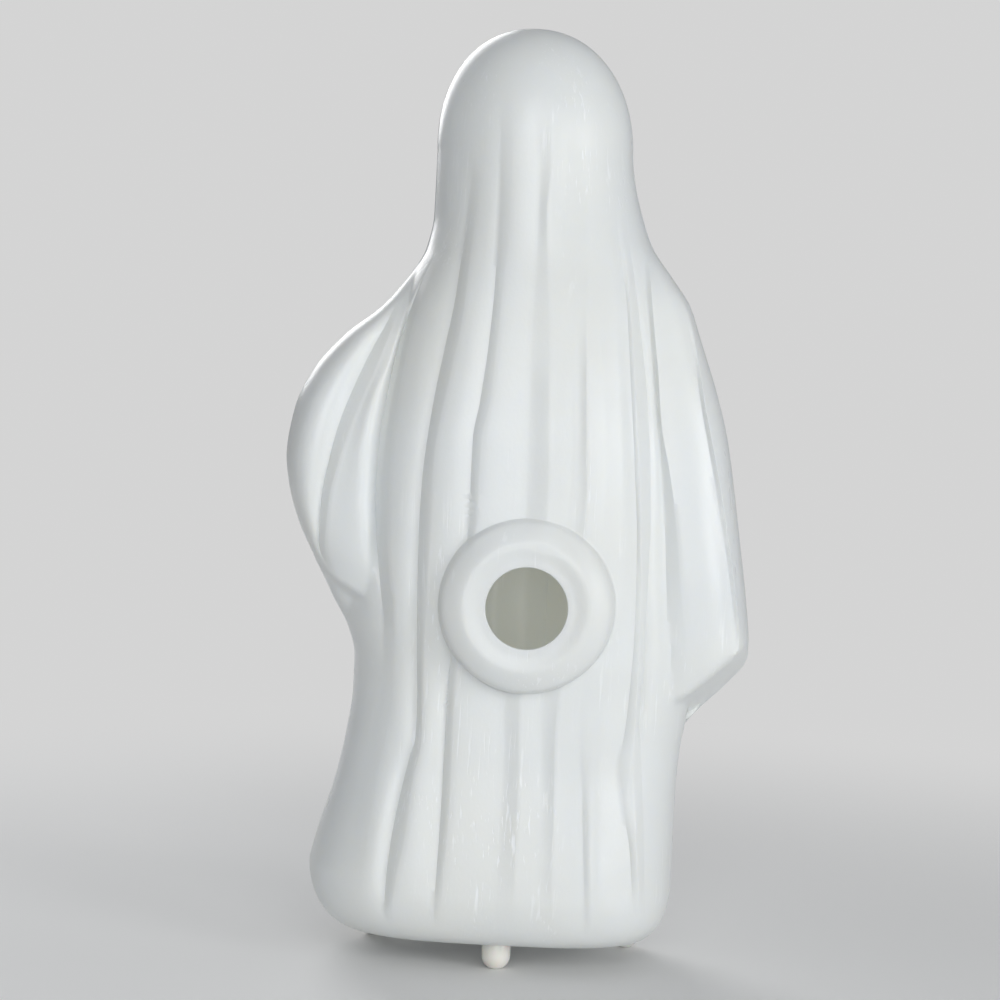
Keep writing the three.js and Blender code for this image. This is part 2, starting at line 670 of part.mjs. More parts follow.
// The heights of the levels, closer together where the shape turns quickly.
function levels(bottom, top, step) {
  const list = [];
  const hemSteps = Math.round(HEM_LEVELS / step);
  for (let i = 0; i < hemSteps; i += 1) {
    list.push(HEM_LEFT_START - (HEM_LEFT_START - bottom) * Math.cos((Math.PI * i) / (2 * hemSteps)));
  }
  LEVEL_BANDS.forEach(([from, to, spacing]) => {
    const count = Math.max(1, Math.round((to - from) / (spacing * step)));
    for (let i = 0; i < count; i += 1) list.push(mix(from, to, i / count));
  });
  const domeSteps = Math.round(DOME_LEVELS / step);
  for (let i = 0; i <= domeSteps; i += 1) {
    list.push(mix(DOME_START, top, DOME_LAST_SHARE * Math.sin((Math.PI * i) / (2 * domeSteps))));
  }
  return list;
}

// A closed solid from levels of points that run from one end of the closing plane to the other.
function loft(rings, side) {
  const count = rings[0].length;
  const positions = rings.flatMap((ring) => ring.flatMap(([x, depth, z]) => [x, side * depth, z]));
  const faces = [];
  const add = (a, b, c) => faces.push(side > 0 ? [a, b, c] : [a, c, b]);
  for (let i = 0; i + 1 < rings.length; i += 1) {
    for (let j = 0; j < count; j += 1) {
      const a = i * count + j;
      const b = i * count + ((j + 1) % count);
      add(a, a + count, b);
      add(b, a + count, b + count);
    }
  }
  const top = (rings.length - 1) * count;
  for (let j = 1; j + 1 < count; j += 1) {
    add(0, j, j + 1);
    add(top, top + j + 1, top + j);
  }
  const geometry = new THREE.BufferGeometry();
  geometry.setAttribute("position", new THREE.Float32BufferAttribute(positions, 3));
  geometry.setIndex(faces.flat());
  return toSolid(geometry);
}

function toSolid(geometry, matrix) {
  const bare = geometry.clone();
  bare.deleteAttribute("normal");
  bare.deleteAttribute("uv");
  if (matrix) bare.applyMatrix4(matrix);
  const merged = mergeVertices(bare, 1e-4);
  return new wasm.Manifold(
    new wasm.Mesh({
      numProp: 3,
      vertProperties: new Float32Array(merged.attributes.position.array),
      triVerts: new Uint32Array(merged.index.array),
    }),
  );
}

function toGeometry(solid) {
  const mesh = solid.getMesh();
  const geometry = new THREE.BufferGeometry();
  geometry.setAttribute("position", new THREE.Float32BufferAttribute(mesh.vertProperties, 3));
  geometry.setIndex([...mesh.triVerts]);
  geometry.computeVertexNormals();
  return geometry;
}

// The outer skin of one half, closed on the parting plane.
function outerHalf(stopsAt, base, side) {
  const rings = levels(FOOT_HEIGHT, HEAD_TOP, 1).map((z) => {
    const places = across(z, stopsAt, FOLD_STEPS, EDGE_STEPS);
    const last = places.length - 1;
    return places.map((x, i) => [x, i === 0 || i === last ? 0 : skinDepth(x, z, stopsAt, base), z]);
  });
  return loft(rings, side);
}

// The hollow inside one half. It runs past the parting plane, so that both halves open into each other.
function innerHalf(stopsAt, base, side) {
  const bottom = FOOT_HEIGHT + FLOOR_WALL;
  const skin = (x, z) => skinDepth(x, z, stopsAt, base);
  const placesAt = remember((z) => across(z, stopsAt, 1, HOLLOW_EDGE_STEPS));
  const rings = levels(bottom, HEAD_TOP - WALL, HOLLOW_COARSENESS).map((z) => {
    const rightIn = WALL * lean(rightEdge, z);
    const leftIn = WALL * lean(leftEdge, z);
    const right = rightEdge(z);
    const left = leftEdge(z);
    const reach = Math.min(EDGE_REACH, (left - right) / 2);
    const above = z + HOLLOW_RISE;
    const below = Math.max(FOOT_HEIGHT, z - HOLLOW_RISE);
    const ring = placesAt(z).map((x, i) => {
      const fromRight = rightIn * clamp01(1 - (x - right) / reach);
      const fromLeft = leftIn * clamp01(1 - (left - x) / reach);
      const inset = fromRight - fromLeft;
      const walled = [z, above, below].map((height) => wallInside(height, i, inset, placesAt, skin));
      const deepest = Math.min(...walled, skin(x + inset, above), skin(x + inset, below));
      return [x + inset, Math.max(HOLLOW_LEAST_DEPTH, deepest), z];
    });
    return [[right + rightIn, -CORE_REACH, z], ...ring, [left - leftIn, -CORE_REACH, z]];
  });
  return loft(rings, side);
}

// How much further a wall reaches sideways where its surface leans.
function lean(edge, z) {
  return Math.min(MOST_LEAN, Math.hypot(1, edge(z + 0.5) - edge(z - 0.5)));
}

// The depth a wall inside the shallowest skin near one column, and no deeper than at the columns beside it.
function wallInside(z, column, inset, placesAt, skin) {
  const places = placesAt(z);
  const inside = places[column] + inset;
  const lastLine = places.length - 1 - HOLLOW_EDGE_STEPS;
  const from = column > HOLLOW_EDGE_STEPS ? places[column - 1] : inside - THICK_WALL;
  const to = column < lastLine ? places[column + 1] : inside + THICK_WALL;
  const depths = [];
  for (let i = 0; i <= HOLLOW_SAMPLES; i += 1) depths.push(skin(mix(from, to, i / HOLLOW_SAMPLES), z));
  return Math.min(...depths, Math.min(...depths.slice(1, -1)) - THICK_WALL);
}

// The depth of the outer skin at any point, folds included.
function skinDepth(x, z, stopsAt, base) {
  const stops = stopsAt(z);
  if (x <= stops[0].x || x >= stops[stops.length - 1].x) return 0;
  const i = stops.findIndex((stop) => stop.x >= x);
  const from = stops[i - 1];
  const to = stops[i];
  const share = (x - from.x) / (to.x - from.x);
  return Math.max(LEAST_DEPTH, base(x, z) + mix(from.height, to.height, foldEase(share, from, to)));
}

// The boss's profile from its buried root to the middle of its seat, set in by a wall where asked.
function bossProfile(inset) {
  const outer = BOSS_RADIUS - inset;
  const crest = BOSS_CREST_Y - inset;
  const root = BOSS_CREST_Y - BOSS_CONE_FALL - BOSS_FOOT_FALL - BOSS_BURIAL;
  const points = [[0, root], [outer, root]];
  for (let i = 0; i <= BOSS_STEPS; i += 1) {
    const out = 1 - (i / BOSS_STEPS) ** BOSS_CONE_POWER;
    const fall = BOSS_CONE_FALL * out ** BOSS_CONE_POWER + BOSS_FOOT_FALL * out ** BOSS_FOOT_POWER;
    points.push([mix(BOSS_CREST_RADIUS, outer, out), crest - fall]);
  }
  const seat = HOLE_RADIUS + SEAT_WIDTH;
  for (let i = 1; i <= DISH_STEPS; i += 1) {
    const share = i / DISH_STEPS;
    points.push([mix(BOSS_CREST_RADIUS, seat, share), crest - BOSS_DISH * smooth01(share)]);
  }
  points.push([0, crest - BOSS_DISH]);
  return points.map(([r, y]) => new THREE.Vector2(r, y));
}

const bossPlace = new THREE.Matrix4().makeTranslation(BOSS_X, 0, BOSS_Z);

function bossSolid(inset) {
  return toSolid(new THREE.LatheGeometry(bossProfile(inset), ROUND_STEPS), bossPlace);
}

function cylinderAlong(radius, from, to, matrix, steps) {
  const geometry = new THREE.CylinderGeometry(radius, radius, to - from, steps);
  geometry.translate(0, (from + to) / 2, 0);
  return toSolid(geometry, matrix);
}

const upright = new THREE.Matrix4().makeRotationX(Math.PI / 2);

function footPlace(name) {
  const [x, y] = FEET[name];
  return new THREE.Matrix4().makeTranslation(x, y, 0).multiply(upright);
}

// The floor's hole for one foot's stem, and the room that its barb needs above the floor.
function footRoom(name) {
  const floorTop = FOOT_HEIGHT + FLOOR_WALL;
  const barbTop = floorTop + BARB_HEIGHT + BARB_ROOM;
  const place = footPlace(name);
  const stem = cylinderAlong(STEM_RADIUS + FIT_GAP, FOOT_HEIGHT - 1, floorTop + 1, place, FOOT_STEPS);
  return stem.add(cylinderAlong(BARB_RADIUS + FIT_GAP, floorTop, barbTop, place, FOOT_STEPS));
}

// A flat-bottomed well that keeps the wall's thickness round the barb, where the hem already turns up.
function footWell(name) {
  const top = FOOT_HEIGHT + FLOOR_WALL + BARB_HEIGHT + BARB_ROOM;
  return cylinderAlong(BARB_RADIUS + FIT_GAP + WALL, FOOT_HEIGHT, top, footPlace(name), FOOT_STEPS);
}

// A ball-ended foot with a stem through the floor and a barb that snaps out above it.
function footSolid(name) {
  const ball = FOOT_RADIUS;
  const floorTop = FOOT_HEIGHT + FLOOR_WALL;
  const startAngle = Math.asin(FOOT_FLAT_RADIUS / ball);
  const sink = ball * Math.cos(startAngle);
  const points = [[0, 0], [FOOT_FLAT_RADIUS, 0]];
  for (let i = 1; i <= BALL_STEPS; i += 1) {
    const angle = mix(startAngle, Math.PI / 2, i / BALL_STEPS);
    points.push([ball * Math.sin(angle), sink - ball * Math.cos(angle)]);
  }
  points.push([ball, FOOT_HEIGHT]);
  points.push([STEM_RADIUS, FOOT_HEIGHT]);
  points.push([STEM_RADIUS, floorTop + FIT_GAP]);
  points.push([BARB_RADIUS, floorTop + FIT_GAP]);
  points.push([BARB_TIP_RADIUS, floorTop + FIT_GAP + BARB_HEIGHT]);
  points.push([0, floorTop + FIT_GAP + BARB_HEIGHT]);
  const profile = points.map(([r, z]) => new THREE.Vector2(r, z));
  return toSolid(new THREE.LatheGeometry(profile, FOOT_STEPS), footPlace(name));
}

// A thin oval plate that follows the front skin, between two depths below it.
function facePlate([x, z, halfWidth, halfHeight], shallow, deep, margin) {
  const rings = [0.5, 1];
  const places = [[0, 0]];
  rings.forEach((ring) => {
    for (let i = 0; i < FACE_STEPS; i += 1) {
      const angle = (2 * Math.PI * i) / FACE_STEPS;
      const u = ring * (halfWidth - margin) * Math.cos(angle);
      const v = ring * (halfHeight - margin) * Math.sin(angle);
      places.push([u, v]);
    }
  });
  const count = places.length;
  const positions = [shallow, deep].flatMap((below) =>
    places.flatMap(([u, v]) => [x + u, below - skinDepth(x + u, z + v, frontStops, frontBase), z + v]),
  );
  const faces = [];
  for (let i = 0; i < FACE_STEPS; i += 1) {
    const next = (i + 1) % FACE_STEPS;
    const inner = [1 + i, 1 + next];
    const outer = [1 + FACE_STEPS + i, 1 + FACE_STEPS + next];
    faces.push([0, inner[0], inner[1]]);
    faces.push([inner[0], outer[0], outer[1]], [inner[0], outer[1], inner[1]]);
    faces.push([count, count + inner[1], count + inner[0]]);
    faces.push([count + inner[0], count + outer[1], count + outer[0]]);
    faces.push([count + inner[0], count + inner[1], count + outer[1]]);
    faces.push([outer[0], count + outer[0], count + outer[1]], [outer[0], count + outer[1], outer[1]]);
  }
  const geometry = new THREE.BufferGeometry();
  geometry.setAttribute("position", new THREE.Float32BufferAttribute(positions, 3));
  geometry.setIndex(faces.flat());
  return toSolid(geometry);
}

const plastic = new THREE.MeshStandardMaterial({ color: 0xf1f3f2, roughness: 0.38, metalness: 0 });
const footPlastic = new THREE.MeshStandardMaterial({ color: 0xf4f2ee, roughness: 0.2, metalness: 0 });
const paint = new THREE.MeshStandardMaterial({ color: 0x141414, roughness: 0.5, metalness: 0 });

const solids = [];
const rooms = Object.keys(FEET).map(footRoom);
const wells = Object.keys(FEET).map(footWell);
// A shell with the feet's rooms cut out, and without the slivers that the cuts leave.
const finishShell = (solid) => rooms.reduce((left, room) => left.subtract(room), solid).simplify(SLIVER);

const hole = cylinderAlong(HOLE_RADIUS, 0, BOSS_CREST_Y + 10, bossPlace, ROUND_STEPS);
const rear = outerHalf(backStops, backBase, 1)
  .add(wells[0])
  .add(bossSolid(0))
  .subtract(innerHalf(backStops, backBase, 1))
  .subtract(bossSolid(WALL))
  .subtract(hole);
solids.push(["rear_shell", finishShell(rear), plastic]);

let front = outerHalf(frontStops, frontBase, -1)
  .add(wells[1])
  .add(wells[2])
  .subtract(innerHalf(frontStops, frontBase, -1));
Object.values(FACE).forEach((face) => {
  front = front.subtract(facePlate(face, RECESS_CUT_START, RECESS_DEPTH, 0));
});
solids.push(["front_shell", finishShell(front), plastic]);

Object.keys(FEET).forEach((name) => solids.push([name, footSolid(name), footPlastic]));
Object.entries(FACE).forEach(([name, face]) => {
  solids.push([name, facePlate(face, PAINT_INSET, PAINT_INSET + PAINT_THICKNESS, FIT_GAP), paint]);
});

const ghost = new THREE.Group();
solids.forEach(([name, solid, material]) => {
  const mesh = new THREE.Mesh(toGeometry(solid), material);
  mesh.name = name;
  ghost.add(mesh);
});

// The frame's origin is the middle of the underside, on the table.
const box = new THREE.Box3().setFromObject(ghost);
ghost.position.set(-(box.min.x + box.max.x) / 2, -(box.min.y + box.max.y) / 2, 0);

export default ghost;
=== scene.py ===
"""A hollow blow-moulded ghost on plug feet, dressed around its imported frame.

Sizes are in millimetres with the parting plane at y = 0, and become metres in the frame's own place
when a mesh is made. The back, with the lamp boss, faces +Y.
"""
import logging
import math
from dataclasses import dataclass, field
from enum import Enum
from typing import Callable, Sequence

import bpy
import numpy as np
from mathutils import Matrix, Vector


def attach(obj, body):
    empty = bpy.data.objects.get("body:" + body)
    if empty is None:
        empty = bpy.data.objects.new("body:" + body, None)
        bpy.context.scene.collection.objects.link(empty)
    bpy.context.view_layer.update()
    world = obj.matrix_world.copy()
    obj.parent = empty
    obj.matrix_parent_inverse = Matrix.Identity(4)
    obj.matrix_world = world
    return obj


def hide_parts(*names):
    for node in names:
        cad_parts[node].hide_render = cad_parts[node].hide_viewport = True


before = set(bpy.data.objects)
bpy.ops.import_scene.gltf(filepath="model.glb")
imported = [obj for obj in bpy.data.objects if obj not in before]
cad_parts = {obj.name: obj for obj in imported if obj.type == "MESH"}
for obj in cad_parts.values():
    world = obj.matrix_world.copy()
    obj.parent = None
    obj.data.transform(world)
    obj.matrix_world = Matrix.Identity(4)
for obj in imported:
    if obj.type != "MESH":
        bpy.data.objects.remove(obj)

log = logging.getLogger("blow_mold_ghost")

Array = np.ndarray
Points = dict[float, float]
Pair = tuple[float, float]
Triple = tuple[float, float, float]
Colour = tuple[float, float, float, float]
Face = tuple[int, ...]
Node = bpy.types.Node
Tree = bpy.types.NodeTree
Material = bpy.types.Material
Piece = bpy.types.Object
Socket = bpy.types.NodeSocket
Inputs = dict[str | int, object]

MM = 0.001
FRAME_SHIFT = np.array([0.8644, 1.56, 0.0])
WALL = 2.0


def clamp01(value: Array) -> Array:
    """Returns the value kept between 0 and 1."""
    return np.clip(value, 0.0, 1.0)


def smooth01(value: Array) -> Array:
    """Returns an S-shaped ease of a share between 0 and 1."""
    share = clamp01(value)
    return share * share * (3.0 - 2.0 * share)


def mix(a: Array, b: Array, share: Array) -> Array:
    """Returns the value at a share of the way from a to b."""
    return a + (b - a) * share


class SmoothLine:
    """A smooth line of values over z, level past both ends and free of overshoot."""

    def __init__(self, points: Points) -> None:
        """Sorts the points and finds the line's slope at each.

        Args:
            points: The value at each z that the line runs through.
        """
        knots = np.array(sorted(points.items()), float)
        self.z, self.value = knots[:, 0], knots[:, 1]
        slope = np.diff(self.value) / np.diff(self.z)
        before, after = slope[:-1], slope[1:]
        turns = before * after <= 0
        total = np.where(turns, 1.0, before + after)
        middle = np.where(turns, 0.0, 2.0 * before * after / total)
        self.tangent = np.concatenate(([slope[0]], middle, [slope[-1]]))

    def __call__(self, z: Array) -> Array:
        """Returns the line's value at each height.

        Args:
            z: One or more heights.

        Returns:
            The values, in the shape of z.
        """
        height = np.clip(z, self.z[0], self.z[-1])
        i = np.clip(np.searchsorted(self.z, height, side="left") - 1, 0, len(self.z) - 2)
        width = self.z[i + 1] - self.z[i]
        t = (height - self.z[i]) / width
        start = (1 + 2 * t) * (1 - t) ** 2 * self.value[i] + t * (1 - t) ** 2 * width * self.tangent[i]
        end = t * t * (3 - 2 * t) * self.value[i + 1] - t * t * (1 - t) * width * self.tangent[i + 1]
        return start + end

    def spans(self, z: Array) -> Array:
        """Returns where z lies between the line's two ends."""
        return (z >= self.z[0]) & (z <= self.z[-1])


@dataclass(frozen=True)
class Fold:
    """One crease or crest that runs down the sheet.

    Attributes:
        path: Its x at each z.
        height: How far it stands out of the sheet at each z, in mm.
        left: How sharply it bends on its left, from 0, round, to 1.
        right: The same on its right, as seen from behind.
    """

    path: Points
    height: Points
    left: float = 0.0
    right: float = 0.0


@dataclass(frozen=True)
class FigureOutline:
    """The figure's outline on the parting plane, with its domed head and turned-in hem."""

    floor: float = 10.0
    head_top: float = 344.88
    dome_start: float = 300.0
    head_half_width: float = 36.2
    head_centre: float = 0.55
    head_lean: float = 1.3
    dome_power: float = 2.15
    hem_left: Pair = (34.0, 18.5)
    hem_right: Pair = (30.0, 12.0)
    inset: float = 0.22
    left: SmoothLine = SmoothLine({
        300: 36.8, 275: 36.8, 262: 39, 250: 46, 240: 54, 228: 68, 215: 78.5, 201: 84.7, 184: 87,
        173: 85.6, 160: 81.6, 147: 75.3, 133: 68.3, 119: 61, 110: 58.7, 98: 58.6, 80: 60.5, 60: 64.6,
        45: 69, 34: 71.6})
    right: SmoothLine = SmoothLine({
        300: -35.7, 290: -37.2, 277: -40.7, 266: -45, 255: -53, 245: -60, 233: -64.5, 211: -72.3,
        196: -76.5, 180: -79.5, 160: -82.8, 137: -86.5, 122: -88.4, 117: -88.7, 113: -87.6, 106: -82,
        93: -69.5, 88: -66, 80: -64.8, 64: -64, 30: -64})
    left_torso: SmoothLine = SmoothLine({
        266: 38.1, 258: 40.6, 250: 43.9, 241: 47.8, 230: 51.6, 210: 56.6, 184: 61, 156: 62.5, 130: 63,
        114: 60.5})
    right_torso: SmoothLine = SmoothLine({
        277: -40.7, 270: -43.3, 262: -46.3, 254: -49.2, 246: -51.7, 236: -54.3, 193: -61, 139: -65.5,
        110: -67, 93: -66.3, 85: -65.4, 75: -64.6})

    def dome_share(self, z: Array) -> Array:
        """Returns how far up the head's dome a height is, from 0 to 1."""
        return clamp01((z - self.dome_start) / (self.head_top - self.dome_start))

    def dome(self, z: Array) -> Array:
        """Returns the share of the head's width that is left at a height."""
        return (1 - self.dome_share(z) ** self.dome_power) ** (1 / self.dome_power)

    def corner(self, z: Array, start: float) -> Array:
        """Returns how much of the hem's round corner has turned in at a height."""
        share = clamp01((start - z) / (start - self.floor))
        return 1 - np.sqrt(np.maximum(0, 1 - share ** 2))

    def edge(self, z: Array, line: SmoothLine, side: int, hem: Pair) -> Array:
        """Returns one side's x at each height.

        Args:
            z: The heights.
            line: That side's outline below the dome.
            side: 1 for the left edge and -1 for the right.
            hem: The height where the hem begins to turn in, and how far it turns.

        Returns:
            The edge's x at each height.
        """
        head = self.head_centre + self.head_lean * self.dome_share(z)
        head = head + side * self.head_half_width * self.dome(z)
        body = line(z) - side * (hem[1] * self.corner(z, hem[0]) + self.inset)
        return np.where(z >= self.dome_start, head, body)

    def left_edge(self, z: Array) -> Array:
        """Returns the left edge's x at each height."""
        return self.edge(z, self.left, 1, self.hem_left)

    def right_edge(self, z: Array) -> Array:
        """Returns the right edge's x at each height."""
        return self.edge(z, self.right, -1, self.hem_right)

    def torso(self, z: Array) -> tuple[Array, Array]:
        """Returns the body's own right and left sides, behind the arms."""
        right, left = self.right_edge(z), self.left_edge(z)
        right = np.where(self.right_torso.spans(z), np.maximum(right, self.right_torso(z)), right)
        left = np.where(self.left_torso.spans(z), np.minimum(left, self.left_torso(z)), left)
        return right, left


@dataclass(frozen=True)
class SleeveHem:
    """A sleeve's lower edge.

    Attributes:
        base: Its height at x = 0.
        slope: How fast that height changes with x.
        drop: The height over which the sleeve falls away.
        keep: The share of its depth that is kept below.
        straight: Whether it falls evenly to nothing, as a cut edge does.
    """

    base: float
    slope: float
    drop: float
    keep: float = 0.0
    straight: bool = False

    def kept(self, x: Array, z: Array) -> Array:
        """Returns the share of the sleeve's depth that is left at a place."""
        share = clamp01((z - self.base - self.slope * x + self.drop) / self.drop)
        return share if self.straight else mix(self.keep, 1.0, smooth01(share))


def lobe(x: Array, inner: Array, outer: Array, depth: Array, power: Array) -> Array:
    """Returns the height of a rounded ridge between two edges.

    Args:
        x: Where the height is wanted.
        inner: One edge of the ridge.
        outer: The other edge.
        depth: Its height at the middle.
        power: How square its section is.

    Returns:
        The height at x, and 0 outside the two edges.
    """
    across = np.abs((2 * x - inner - outer) / (outer - inner))
    return depth * np.maximum(0, 1 - np.minimum(across, 1) ** power) ** (1 / power)


def blend_lobes(a: Array, b: Array, reach: float = 3.0, trim: float = 0.2) -> Array:
    """Returns the greater of two heights, with the crease between them rounded."""
    soft = reach * clamp01(np.maximum(a, b) / (4 * reach))
    cut = trim * soft * clamp01(1 - np.abs(a - b) / reach)
    return (a + b + np.sqrt((a - b) ** 2 + soft ** 2)) / 2 - cut


@dataclass
class DrapedSide:
    """One half of the draped figure: how deep it is at any place, folds included."""

    outline: FigureOutline
    depth: SmoothLine
    head_depth: float
    left_arm: SmoothLine
    right_arm: SmoothLine
    left_inner: SmoothLine
    right_inner: SmoothLine
    left_hem: SleeveHem
    right_hem: SleeveHem
    folds: Sequence[Fold]
    power: SmoothLine = SmoothLine({232: 2.35, 240: 2.35, 280: 2.05, 288: 2.05})
    arm_power: float = 2.3
    sleeve_power: float = 2.8
    hem_turn: float = 13.0
    hem_start: float = 28.0
    least: float = 0.2
    bend_power: float = 2.2

    def body_depth(self, z: Array) -> Array:
        """Returns the body's greatest depth at each height."""
        dome = self.head_depth * self.outline.dome(z)
        body = self.depth(z) - self.hem_turn * self.outline.corner(z, self.hem_start)
        return np.where(z >= self.outline.dome_start, dome, body)

    def base(self, x: Array, z: Array) -> Array:
        """Returns the depth of the body and its two arms, without folds.

        Args:
            x: The places across.
            z: Their heights.

        Returns:
            The depth ahead of the parting plane at each place.
        """
        right, left = self.outline.torso(z)
        height = lobe(x, right, left, self.body_depth(z), self.power(z))
        inner = self.left_inner(z)
        arm = lobe(x, inner, self.outline.left_edge(z), self.left_arm(z), self.arm_power)
        arm = arm * self.left_hem.kept(x, z)
        held = self.left_arm.spans(z) & (x > inner)
        height = np.where(held, blend_lobes(height, arm), height)
        inner = self.right_inner(z)
        sleeve = lobe(x, self.outline.right_edge(z), inner, self.right_arm(z), self.sleeve_power)
        sleeve = sleeve * self.right_hem.kept(x, z)
        held = self.right_arm.spans(z) & (x < inner)
        return np.where(held, blend_lobes(height, sleeve), height)

    def stops(self, z: Array) -> tuple[Array, Array, Array, Array]:
        """Finds the edges and fold lines at each height, from the right edge to the left.

        Args:
            z: A flat list of heights.

        Returns:
            Their x and height, with one row for each z, and their bends on the left and the right.
        """
        right, left = self.outline.right_edge(z), self.outline.left_edge(z)
        level = np.zeros_like(z)
        places, heights, bends = [right], [level], [(0.0, 0.0)]
        for fold in reversed(self.folds):
            path = SmoothLine(fold.path)
            kept = np.clip(z, path.z[0], path.z[-1])
            start, end = self.outline.right_edge(kept), self.outline.left_edge(kept)
            places.append(mix(right, left, (path(kept) - start) / (end - start)))
            heights.append(SmoothLine(fold.height)(z))
            bends.append((fold.left, fold.right))
        lefts, rights = np.array([*bends, (0.0, 0.0)]).T
        return np.stack([*places, left], 1), np.stack([*heights, level], 1), lefts, rights

    def fold_height(self, x: Array, z: Array) -> Array:
        """Returns how far the folds lift the sheet at each place, given as two flat lists."""
        places, heights, lefts, rights = self.stops(z)
        i = np.clip((places < x[:, None]).sum(1), 1, places.shape[1] - 1)
        row = np.arange(len(x))
        start, end = places[row, i - 1], places[row, i]
        share = clamp01((x - start) / np.maximum(end - start, 1e-6))
        leaving, reaching = lefts[i - 1], rights[i]
        ease = (1 - leaving) * (1 - reaching) * (1 - np.cos(np.pi * share)) / 2
        ease = ease + leaving * (1 - reaching) * (1 - (1 - share) ** self.bend_power)
        ease = ease + reaching * (1 - leaving) * share ** self.bend_power
        ease = ease + leaving * reaching * share
        return mix(heights[row, i - 1], heights[row, i], ease)

    def skin_depth(self, x: Array, z: Array) -> Array:
        """Returns the outer skin's depth at each place, in the shape of x."""
        flat_x, flat_z = np.ravel(x).astype(float), np.ravel(z).astype(float)
        depth = self.base(flat_x, flat_z) + self.fold_height(flat_x, flat_z)
        return np.maximum(self.least, depth).reshape(np.shape(x))


SLEEVE_FALL = SleeveHem(base=47.5, slope=-0.875, drop=14.3, straight=True)

